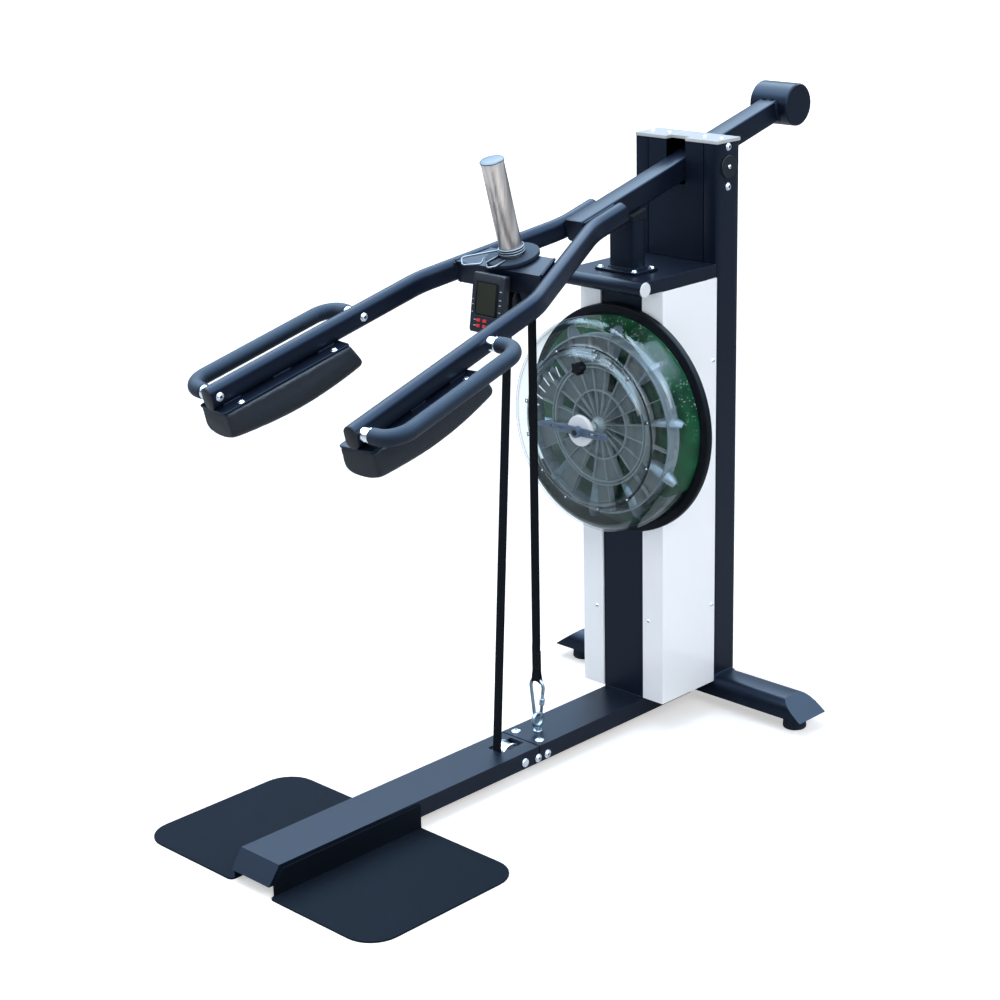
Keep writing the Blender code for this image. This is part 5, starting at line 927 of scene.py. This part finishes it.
make("tank_disc", turned(rim, tank, BACKWARD, 160, True), disc_finish, stands_for=("tank_back_disc",))


def polar(reach, angle, depth):
    """A place on the tank: from its middle, at an angle from the right towards the top, and in depth."""
    turn = radians(angle)
    return at(reach * cos(turn), depth, TANK_Z + reach * sin(turn))


def spoke(angle, low, high, near, far, thick=0.0014):
    """A straight bar that points from the tank's middle."""
    way = (polar(1, angle + 90, 0) - polar(0, 0, 0)).normalized() * (thick / 2)
    return slab([polar(low, angle, near) - way, polar(high, angle, near) - way, polar(high, angle, near) + way,
                 polar(low, angle, near) + way], BACKWARD * (far - near))


green = Finish("green_facing", {"Specular IOR Level": 0.25})
from_middle = green.place.vector("SUBTRACT", tank).vector("MULTIPLY", (1, 0, 1)).vector("LENGTH", (0, 0, 0))
patches = green.noise(22, 5)
beads = green.node("TexVoronoi", {"feature": "F1"}, {"Vector": green.place, "Scale": 165, "Randomness": 1.0})
# Pale specks at the upper right stand for water drops on the drum: their brightness is painted glints.
drop_glint_area = green.place.vector("SUBTRACT", tank).along((0.5, 0, 0.86)).step(0.05, 0.20) * from_middle.step(0.14, 0.20)
painted_drop_glints = (1 - beads.step(0.18, 0.28)) * green.noise(60, 2).step(0.47, 0.53) * drop_glint_area
green.feed(base_color=green.mix(painted_drop_glints, green.mix(patches.step(0.30, 0.75), (0.0030, 0.052, 0.020),
                                                       (0.0075, 0.140, 0.045)), (0.66, 0.84, 0.74)),
           roughness=0.20 + 0.25 * patches)
green.bump(painted_drop_glints + 0.2 * patches, 0.0006, 0.5)
face = [(0.026, DISC_FRONT - 0.0004), (0.2432, DISC_FRONT - 0.0004), (0.2438, DISC_FRONT - 0.0012),
        (0.2432, DISC_FRONT - 0.0030), (0.026, DISC_FRONT - 0.0030)]
make("tank_facing", turned(face, tank, BACKWARD, 128, True), green)


def clear(name, tint, rough, polished):
    """Thin clear plastic: it shows what is behind it, and mirrors more the flatter it is seen. Its side wall,
    behind the polished depth, keeps the duller skin of its mould."""
    glass = Finish(name, {})
    flat = glass.node("LayerWeight", {}, {"Blend": 0.5}, "Facing")
    square = flat * flat
    dull = glass.place.along(BACKWARD).step(at(0, polished, 0).y, at(0, polished + 0.012, 0).y)
    part = (0.018 + 0.95 * (square * square * flat)) * (1 - 0.62 * dull) + 0.012 * glass.noise(6, 3).step(0.45, 0.8)
    through = glass.node("MixShader", {}, {0: square * flat, 1: glass.node("BsdfTransparent", {}, {"Color": tint}),
                                           2: glass.node("BsdfTransparent", {}, {"Color": (0.58, 0.62, 0.64)})})
    gloss = glass.node("BsdfGlossy", {}, {"Color": (0.92, 0.97, 1.0), "Roughness": rough})
    mixed = glass.node("MixShader", {}, {0: part, 1: through, 2: gloss})
    glass.links.new(mixed.socket, glass.tree["Material Output"].inputs["Surface"])
    glass.tree.remove(glass.shader)
    return glass


shell = clear("clear_drum", (0.968, 0.978, 0.974), 0.035, DRUM_FACE + SHOULDER - 0.010)
shoulder_at = (DRUM - SHOULDER, DRUM_FACE + SHOULDER)
outer = [(DRUM, DRUM_BACK)] + bend(*shoulder_at, SHOULDER, 0, -pi / 2, 12)
outer += [(SEAM + 0.008, DRUM_FACE - 0.0003), (SEAM + 0.0045, DRUM_FACE - 0.0022), (SEAM + 0.003, DRUM_FACE - LIP),
          (SEAM - STEP, DRUM_FACE - LIP)]
inner = [(SEAM - STEP, DRUM_FACE + DRUM_WALL)] + bend(*shoulder_at, SHOULDER - DRUM_WALL, -pi / 2, 0, 12)
inner += [(DRUM - DRUM_WALL, DRUM_BACK - 0.0006), (DRUM - DRUM_WALL, DRUM_BACK)]
make("drum_shell", turned(outer + inner, tank, BACKWARD, 160, True), shell, stands_for=("tank_drum",),
     angle=40)
water = drifting("dark_water", {"Specular IOR Level": 0.6}, (14, 4), (0.0040, 0.0140, 0.0100),
                 (0.0100, 0.0340, 0.0230), rough=(0.10, 0.12), grain=(40, 3), deep=0.0004)
WATER_DROP, SKIN = 0.129, 0.0006
spread = degrees(acos(WATER_DROP / (DRUM - DRUM_WALL)))
bowl = [(DRUM - DRUM_WALL - SKIN, DISC_FRONT - 0.0034)]
bowl += bend(*shoulder_at, SHOULDER - DRUM_WALL - SKIN, 0, radians(-75), 10)
bowl += [(reach - SKIN, depth + SKIN * 0.3) for reach, depth in reversed(bowl)]
make("tank_water", skinned([[polar(reach, spread * k / 40 - 90, depth) for reach, depth in bowl]
                            for k in range(-40, 41)]), water, angle=50)
lid_clear = clear("clear_cover", (0.90, 0.94, 0.94), 0.03, DRUM_FACE)
brow, lip_y = SEAM - COVER_SLOPE, DRUM_FACE - LIP - 0.0015
bore = 0.0113
front = [(SEAM - STEP, lip_y), (SEAM + 0.002, lip_y), (SEAM + 0.0024, lip_y - 0.0022),
         (SEAM + 0.0012, lip_y - 0.0046), (SEAM - 0.0030, lip_y - 0.0066), (SEAM - 0.0056, lip_y - 0.0100),
         (brow + 0.0022, COVER_FACE + 0.0065), (brow - 0.0004, COVER_FACE + 0.0030),
         (brow - 0.0040, COVER_FACE + 0.0008), (brow - 0.0090, COVER_FACE), (bore, COVER_FACE)]
behind = [(bore, COVER_FACE + COVER_WALL), (brow - 0.0100, COVER_FACE + COVER_WALL),
          (brow - 0.0060, COVER_FACE + COVER_WALL + 0.0014), (brow - 0.0028, COVER_FACE + 0.0100),
          (SEAM - STEP - 0.0020, lip_y - 0.0050)]
make("cover_shell", turned(front + behind, tank, BACKWARD, 160, True), lid_clear, stands_for=("tank_cover",),
     angle=40)
gasket_ring = [(SEAM - 0.0030, DRUM_FACE - LIP - 0.00005), (SEAM + 0.0028, DRUM_FACE - LIP - 0.00005),
               (SEAM + 0.0028, lip_y + 0.00005), (SEAM - 0.0030, lip_y + 0.00005)]
make("cover_gasket", turned(gasket_ring, tank, BACKWARD, 160, True), moulded)
tab_finish = drifting("smoky_tab", {"Specular IOR Level": 0.5}, (120, 3), (0.010, 0.013, 0.016),
                      (0.026, 0.031, 0.036), rough=(0.20, 0.2), grain=(900, 2), deep=0.00005)
clips, clip_screws = [], []
for turn in (14.5, 47.7, 82, 118, 145, 170, -165.6, -138, -110.8, -80, -50, -18.6):
    on = (polar(1, turn, 0) - polar(0, turn, 0)).normalized()
    wide = on.cross(BACKWARD)
    middle = polar(SEAM + 0.0015, turn, lip_y - 0.0072)
    clips.append(slab([middle + on * u + wide * v for u, v in ((-0.0095, -0.0040), (0.0050, -0.0046),
                                                              (0.0050, 0.0046), (-0.0095, 0.0040))],
                      BACKWARD * 0.0016))
    clip_screws.append((middle, FRONT))
make("cover_clips", joined(clips), tab_finish, edge=0.0003)
screws("clip_screws", clip_screws, radius=0.0022, rise=0.0014)

# The scale on the cover is bare printed ticks. Below it, a white dial carries a grey two-ended pointer, which
# turns to set the water level. A black lobed plug closes the filling hole.
TICK, INK = 0.0028, 0.00028
long_ticks = [(turn, 0.131, 0.155) for turn in (120, 130, 138.6, 148, 156.5)]
ticks = [spoke(turn, low, high, COVER_FACE - 0.0003, COVER_FACE - 0.0003 + INK, TICK)
         for turn, low, high in (*long_ticks, (165, 0.1365, 0.151))]
make("scale_ticks", joined(ticks), marking)
dress(white, 0.0012, "tank_dial", angle=25)
slate = drifting("slate_plastic", {"Specular IOR Level": 0.5}, (60, 4), (0.045, 0.075, 0.125), (0.080, 0.125, 0.190),
                 rough=(0.30, 0.20), grain=(1500, 2), deep=0.00006)
dress(slate, 0.0008, "selector_lever")
dress(disc_finish, 0.0010, "fill_plug", angle=40)
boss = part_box("selector_lever")[0].y - FACE
dial_low, dial_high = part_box("tank_dial")
dial_middle = (dial_low + dial_high) / 2
cap = [(0, -0.0018), (0.0062, -0.0018), (0.0074, -0.0006), (0.0074, -0.0003), (0, -0.0003)]
make("pointer_cap", turned(cap, at(dial_middle.x, boss, dial_middle.z), BACKWARD, 32), moulded, "selector")

# Paddle wheel: moulded in milky plastic and pressed on the shaft. Twenty ribs and three rings carry ten
# cupped blades, with a wide hoop round them, and thin webs fill every other bay.
milky = drifting("milky_plastic", {"Specular IOR Level": 0.5}, (35, 4), (0.20, 0.23, 0.245), (0.33, 0.36, 0.385),
                 rough=(0.22, 0.22), grain=(260, 3), deep=0.00015)
web_finish = drifting("milky_web", {"Specular IOR Level": 0.5}, (18, 4), (0.075, 0.095, 0.100), (0.165, 0.185, 0.19),
                      rough=(0.26, 0.2), grain=(200, 3), deep=0.0002)
blade_finish = drifting("milky_blade", {"Specular IOR Level": 0.7, "Specular Tint": (0.7, 0.85, 1.0)}, (28, 4),
                        (0.13, 0.17, 0.20), (0.24, 0.30, 0.345), rough=(0.18, 0.18), grain=(220, 3), deep=0.00015,
                        strength=0.4)
HUB, RING_IN, RING_OUT, BLADE_IN, BLADE_OUT, BLADES, RIBS = 0.018, 0.132, 0.140, 0.146, 0.234, 10, 20
FRONT_FACE, REAR_FACE = -0.084, -0.034
shaft_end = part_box("impeller")[1].y - FACE
SHAFT, SHAFT_FRONT = 0.008, -0.098
core = [(0, SHAFT_FRONT), (0.0105, SHAFT_FRONT), (0.0120, SHAFT_FRONT + 0.0015), (HUB, -0.086), (HUB + 0.001, -0.080),
        (HUB + 0.001, REAR_FACE), (SHAFT, REAR_FACE), (SHAFT, shaft_end), (0, shaft_end)]
wheel = [turned(core, tank, BACKWARD, 48)]
for low, high, near, far in ((0.0785, 0.0815, -0.083, -0.068), (RING_IN, RING_IN + 0.003, -0.084, -0.060),
                             (RING_OUT, RING_OUT + 0.0025, -0.084, -0.052)):
    wheel.append(turned([(low, near), (high, near), (high, far), (low, far)], tank, BACKWARD, 120, True))


def arc_slab(start, end, low, high, near, far, steps=6):
    """A flat piece of a ring between two angles."""
    turns = [start + (end - start) * k / steps for k in range(steps + 1)]
    outline = [polar(high, t, near) for t in turns] + [polar(low, t, near) for t in reversed(turns)]
    return slab(outline, BACKWARD * (far - near))


FIRST_RIB, RIB_ROOM, bay = 9, 0.6, 360 / RIBS
for low, high, near, far in ((HUB - 0.001, RING_IN + 0.001, -0.0825, -0.066), (RING_OUT, 0.204, -0.080, -0.062)):
    wheel += [spoke(FIRST_RIB + bay * k, low, high, near, far) for k in range(RIBS)]
make("wheel_spider", joined(wheel), milky, "impeller_body", ("impeller",))
webs = []
for open_bays, low, high, near in (((0, 5, 8, 12, 16, 18), 0.0310, 0.0782, -0.0745),
                                   ((0, 3, 8, 10, 13, 16), 0.0818, 0.1315, -0.0765),
                                   ((), RING_IN + 0.0032, RING_OUT, -0.0800),
                                   ((0, 1, 3, 7, 9, 11, 13, 15, 18, 19), RING_OUT + 0.0028, 0.2035, -0.0700)):
    webs += [arc_slab(FIRST_RIB + RIB_ROOM + bay * k, FIRST_RIB - RIB_ROOM + bay * (k + 1), low, high, near,
                      near + 0.0012) for k in range(RIBS) if k not in open_bays]
make("wheel_webs", joined(webs), web_finish, "impeller_body")
hoop = [turned([(0.2040, -0.0840), (0.2075, -0.0840), (0.2075, -0.0815), (0.2058, -0.0805), (0.2058, -0.0505),
                (0.2075, -0.0495), (0.2075, -0.0470), (0.2040, -0.0470)], tank, BACKWARD, 140, True)]


def blade(angle):
    """One cupped blade: a leaf-shaped scoop, hollow on its driving side."""
    rings = []
    for i in range(13):
        reach = BLADE_IN + (BLADE_OUT - BLADE_IN) * i / 12
        share = sin(pi * (0.10 + 0.84 * i / 12)) ** 0.55
        half = 0.5 * (abs(REAR_FACE - FRONT_FACE) - 0.004) * share
        ring = []
        for thick in (0.0, 0.0016):
            row = []
            for k in range(9):
                across_blade = -1 + k / 4
                cup = 8.5 * (1 - across_blade ** 2) * share - 2.2 * (i / 12) ** 2
                lift = radians(cup) * 0.6 + thick / reach
                turn = radians(angle) + lift
                row.append(at(reach * cos(turn), (FRONT_FACE + REAR_FACE) / 2 + half * across_blade,
                              TANK_Z + reach * sin(turn)))
            ring += row if thick == 0.0 else row[::-1]
        rings.append(ring)
    return skinned(rings)


blades = [blade(FIRST_RIB + 360 / BLADES * k) for k in range(BLADES)]
make("wheel_blades", joined(blades), blade_finish, "impeller_body", angle=50)
make("wheel_hoop", joined(hoop), blade_finish, "impeller_body", angle=40)

# Pulleys: turned steel wheels, zinc-plated, with a flat groove for the strap, running on plain pins. The spool
# on the paddle wheel's shaft is made the same way, and a black case behind it holds the rewind spring.
dress(zinc, 0.0006, "column_idler", "drive_spool")
dress(moulded, 0.0010, "rewind_case")
blackened = drifting("blackened_zinc", {"Metallic": 0.7}, (300, 3), (0.012, 0.015, 0.020), (0.030, 0.035, 0.044),
                     rough=(0.36, 0.16), grain=(1300, 2), deep=0.00005, strength=0.4)
PULLEY_HALF, PULLEY_LIP, PULLEY_BORE = 0.0170, 0.0140, 0.0056
UPPER_GROOVE, BASE_GROOVE, IDLER_GROOVE = 0.0347, 0.0287, 0.0217
upper_centre, base_centre, idler_centre = lever(0, 0.596, -0.068), at(0, -0.408, 0.041), at(0, 0.075, 0.084)
for name, body, centre, groove, rim, plating in (
        ("upper_pulley", "upper_wheel", upper_centre, UPPER_GROOVE, 0.040, blackened),
        ("base_pulley", "base_wheel", base_centre, BASE_GROOVE, 0.033, zinc)):
    half = [(PULLEY_BORE, PULLEY_HALF), (0.0105, PULLEY_HALF), (0.0115, PULLEY_HALF - 0.0008),
            (0.0125, PULLEY_HALF - 0.0030), (groove - 0.0065, PULLEY_HALF - 0.0030),
            (groove - 0.0050, PULLEY_HALF - 0.0008), (groove - 0.0040, PULLEY_HALF), (rim - 0.0008, PULLEY_HALF),
            (rim, PULLEY_HALF - 0.0008), (rim, PULLEY_LIP + 0.0010), (rim - 0.0005, PULLEY_LIP + 0.0005),
            (groove, PULLEY_LIP)]
    wheel = half + [(r, -x) for r, x in reversed(half)]
    make(f"{name}_wheel", turned(wheel, centre, SIDE, 96, True), plating, body, (name,), angle=40)

# Strap: one woven polyester belt, 25 by 2 mm. It is sewn round the spring hook, and runs over the upper pulley,
# under the one in the beam, under the idler, and up with a quarter turn to the spool.
STRAP_HALF, STRAP_SHEET, HOOK_Y, DOUBLED = 0.0125, 0.002, -0.302, 0.266
webbing = Finish("woven_strap", {"Specular IOR Level": 0.07})
along_strap = webbing.place.along((0, 1, 1)) * (2 * pi / 0.0026)
over_strap = webbing.place.along((1, 0, 0)) * (2 * pi / 0.0028)
weave = over_strap.math("SINE") * along_strap.math("SINE") * 0.5 + 0.5
fuzz = webbing.noise(34, 4)
webbing.feed(base_color=webbing.mix(weave * 0.6 + fuzz * 0.3, (0.0010, 0.0013, 0.0022), (0.0036, 0.0046, 0.0070)),
             roughness=0.66 + 0.14 * fuzz)
webbing.bump(weave + 0.3 * webbing.noise(2400, 2), 0.00035, 0.8)


def plane_of(point):
    return Vector((point.y, point.z))


def wrap(centre, radius, start, end):
    """Points on a round, in the machine's middle plane."""
    steps = max(2, round(abs(end - start) * radius / 0.0035))
    return [Vector(point) for point in bend(centre.x, centre.y, radius, start, end, steps)]


def leaving(a, ra, b, rb):
    """The angle at which a straight belt leaves wheel a for wheel b, with both wheels on its left."""
    gap = b - a
    return (atan2(gap.y, gap.x) - acos((ra - rb) / gap.length)) % (2 * pi)


HOOK_LOW_Z, HOOK_LOW, HOOK_TOP, HOOK_LONG, HOOK_WIRE = 0.1104, 0.0105, 0.019, 0.066, 0.0040
off = STRAP_SHEET / 2 + GAP
round_wire = HOOK_WIRE + 0.0002 + STRAP_SHEET / 2
wire_z = HOOK_LOW_Z + HOOK_LONG + HOOK_TOP
face_y = at(0, HOOK_Y, 0).y
upper, low_wheel, idler = plane_of(upper_centre), plane_of(base_centre), plane_of(idler_centre)
r_upper, r_base, r_idler = UPPER_GROOVE + off, BASE_GROOVE + off, IDLER_GROOVE + off
hang = Vector((face_y, 0.2134))
lean = hang - upper
first = (atan2(lean.y, lean.x) + acos(r_upper / lean.length) + pi) % (2 * pi) - pi
second = leaving(upper, r_upper, low_wheel, r_base)
third = leaving(low_wheel, r_base, idler, r_idler)
doubled_gap = STRAP_SHEET / 2 + 0.00005
open_up = 0.30
doubled = [(doubled_gap, z, 0.0) for z in (DOUBLED, DOUBLED - 0.012, 0.242, 0.230, 0.219)]
doubled += [(doubled_gap + 0.0004, 0.2125, 0.15), (0.0030, 0.2055, 0.55)]
loop = [(Vector((face_y + out, z)), bow) for out, z, bow in doubled]
loop += [(Vector(point), 1.0) for point in bend(face_y, wire_z, round_wire, open_up, -pi - open_up, 18)]
loop += [(Vector((face_y - out, z)), bow) for out, z, bow in reversed(doubled)]
line = [point for point, _ in loop] + [Vector((face_y, DOUBLED + 0.020))]
for around in (wrap(upper, r_upper, first, second), wrap(low_wheel, r_base, second, third),
               wrap(idler, r_idler, third, 2 * pi)):
    start = line[-1]
    parts = round((around[0] - start).length / 0.006)
    line += [start.lerp(around[0], k / parts) for k in range(1, parts)] + around
arch = [share for _, share in loop] + [0.0] * (len(line) - len(loop))
rings, count = [], 9
across_strap = [-STRAP_HALF + 2 * STRAP_HALF * k / (count - 1) for k in range(count)]


def section(point, wide, thick, bow):
    """The belt's section: flat, with rounded selvedges, and bowed where it lies in the hook."""
    ring = []
    for side in (-1, 1):
        for u in across_strap[::-side]:
            edge = 1 - 0.45 * (abs(u) / STRAP_HALF) ** 8
            sag = bow * (sqrt(HOOK_TOP ** 2 - u * u) - HOOK_TOP)
            ring.append(point + wide * u + thick * (side * STRAP_SHEET / 2 * edge) + UP * sag)
    return ring


for i, point in enumerate(line):
    before, after = line[max(i - 1, 0)], line[min(i + 1, len(line) - 1)]
    on = (after - before).normalized()
    thick = Vector((0, on.y, -on.x))
    rings.append(section(Vector((0, point.x, point.y)), SIDE, thick, arch[i]))
spool_y, spool_radius = at(0, 0.026 + 0.003 + 0.002 + STRAP_HALF, 0).y, 0.038 + off
low_end = Vector((0, line[-1].x, line[-1].y))
high_end = Vector((spool_radius, spool_y, TANK_Z - 0.054 - 0.012))
twist = [(low_end.lerp(high_end, 0.02 + 0.98 * k / 90), pi / 2 * k / 90) for k in range(1, 91)]
twist += [(Vector((spool_radius * cos(turn), spool_y, TANK_Z + spool_radius * sin(turn))), pi / 2)
          for turn in (radians(200) * k / 40 for k in range(41))]
for i, (point, turn) in enumerate(twist):
    on = (twist[min(i + 1, len(twist) - 1)][0] - twist[max(i - 1, 0)][0]).normalized()
    wide = Vector((cos(turn), -sin(turn), 0))
    wide = (wide - on * wide.dot(on)).normalized()
    rings.append(section(point, wide, on.cross(wide), 0.0))
strap = make("woven_belt", skinned(rings), webbing, None, ("strap",), angle=50)
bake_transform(strap)

thread = drifting("sewing_thread", {"Specular IOR Level": 0.4}, (900, 2), (0.012, 0.014, 0.018),
                  (0.030, 0.033, 0.040), rough=(0.50, 0.2), deep=0.0001, strength=0.6)
stitches = []
for side in (-1, 1):
    skin_y = face_y + side * (doubled_gap + STRAP_SHEET / 2 + 0.00005)
    rows = [(Vector((x, skin_y, z)), SIDE) for z in (0.2215, 0.2590) for x in
            (-0.0085, -0.0050, -0.0015, 0.0020, 0.0055, 0.0088)]
    rows += [(Vector((x + drift * k, skin_y, 0.2245 + 0.0036 * k)), (SIDE * (250 * drift) + UP * 0.9).normalized())
             for x, drift in ((-0.0102, 0), (0.0102, 0), (-0.0080, 0.0018), (0.0080, -0.0018)) for k in range(10)]
    for middle, way in rows:
        half = way * 0.00115
        stitches.append(swept([middle - half, middle - half * 0.5, middle + half * 0.5, middle + half],
                              circle(0.00026, 6), FRONT, sizes=(0.35, 1, 1, 0.35)))
make("loop_stitches", joined(stitches), thread, angle=60)

# Anchor: an eye bolt through the rear beam, and a spring hook bent from plated wire. The hook's gate turns on
# a rivet, and a sleeve runs on it to lock it shut.
EYE_Z, EYE_RADIUS, EYE_WIRE, BEAM_SKIN, BEAM_WALL = 0.094, 0.0150, 0.0045, 0.0660, 0.004
eye_at = at(0, HOOK_Y, EYE_Z)
ring = [eye_at + Vector((0, u, v)) for u, v in circle(EYE_RADIUS, 64)]
neck = [(0, EYE_Z - EYE_RADIUS), (0.0046, EYE_Z - EYE_RADIUS - 0.0004), (0.0054, EYE_Z - EYE_RADIUS - 0.0036),
        (0.0062, BEAM_SKIN + 0.0043), (0.0100, BEAM_SKIN + 0.0040), (0.0110, BEAM_SKIN + 0.0030),
        (0.0110, BEAM_SKIN + GAP), (0.0043, BEAM_SKIN + GAP), (0.0043, 0.0497), (0.0030, 0.0484), (0, 0.0484)]
under = BEAM_SKIN - BEAM_WALL - GAP
nut = [at(0.0095 * cos(pi * k / 3), HOOK_Y + 0.0095 * sin(pi * k / 3), under - 0.008) for k in range(6)]
make("eye_ring", joined([swept(ring, circle(EYE_WIRE, 20), SIDE, True),
                         turned(neck, at(0, HOOK_Y, 0), UP, 40), slab(nut, UP * 0.008)]),
     hook_zinc, stands_for=("eye_bolt",), angle=50)
lean = asin((HOOK_TOP - HOOK_LOW) / HOOK_LONG)
high_z = HOOK_LOW_Z + HOOK_LONG
foot = bend(0, HOOK_LOW_Z, HOOK_LOW, -lean, lean - pi, 24)
head = bend(0, high_z, HOOK_TOP, pi + lean, -lean, 32)
side_low, side_high = at(foot[0][0], HOOK_Y, foot[0][1]), at(head[-1][0], HOOK_Y, head[-1][1])
hinge, nose = side_low.lerp(side_high, 0.10), side_low.lerp(side_high, 0.80)
way = (side_high - side_low).normalized()
bent = [hinge, side_low.lerp(side_high, 0.05)] + [at(x, HOOK_Y, z) for x, z in foot + head]
bent += [side_high.lerp(nose, 0.5), nose + way * 0.0006, nose]
sizes = [0.90] + [1.0] * (len(bent) - 3) + [1.0, 0.86]
rivet = [(0, -0.0046), (0.0016, -0.0046), (0.0020, -0.0042), (0.0020, 0.0042), (0.0016, 0.0046), (0, 0.0046)]
make("hook_wire", joined([swept(bent, circle(HOOK_WIRE, 18), FRONT, sizes=sizes),
                          turned(rivet, hinge - way * 0.0012, BACKWARD, 20)]),
     hook_zinc, stands_for=("spring_hook",), angle=50)
GATE_WIRE, SLEEVE_WIDE = 0.0036, 0.0062
gate_long = (nose - hinge).length - 0.0006
gate = swept([hinge + way * reach for reach in (0.0006, 0.0012, 0.0018, 0.0024, gate_long * 0.5,
                                                gate_long - 0.0008, gate_long)], circle(GATE_WIRE, 18), FRONT,
             sizes=(0.34, 0.58, 0.82, 1, 1, 1, 0.86))
tube = [(GATE_WIRE - 0.0004, 0.42), (0.0050, 0.42), (SLEEVE_WIDE, 0.445), (SLEEVE_WIDE, 0.555), (0.0057, 0.565),
        (0.0057, 0.585), (SLEEVE_WIDE, 0.595), (SLEEVE_WIDE, 0.625), (0.0057, 0.635), (0.0057, 0.655),
        (SLEEVE_WIDE, 0.665), (SLEEVE_WIDE, 0.775), (0.0050, 0.80), (GATE_WIRE - 0.0004, 0.80)]
sleeve_shape = turned([(r, gate_long * share) for r, share in tube], hinge, way, 32, True)
make("hook_gate_and_sleeve", joined([gate, sleeve_shape]), hook_zinc, "gate", ("hook_gate",), angle=50)
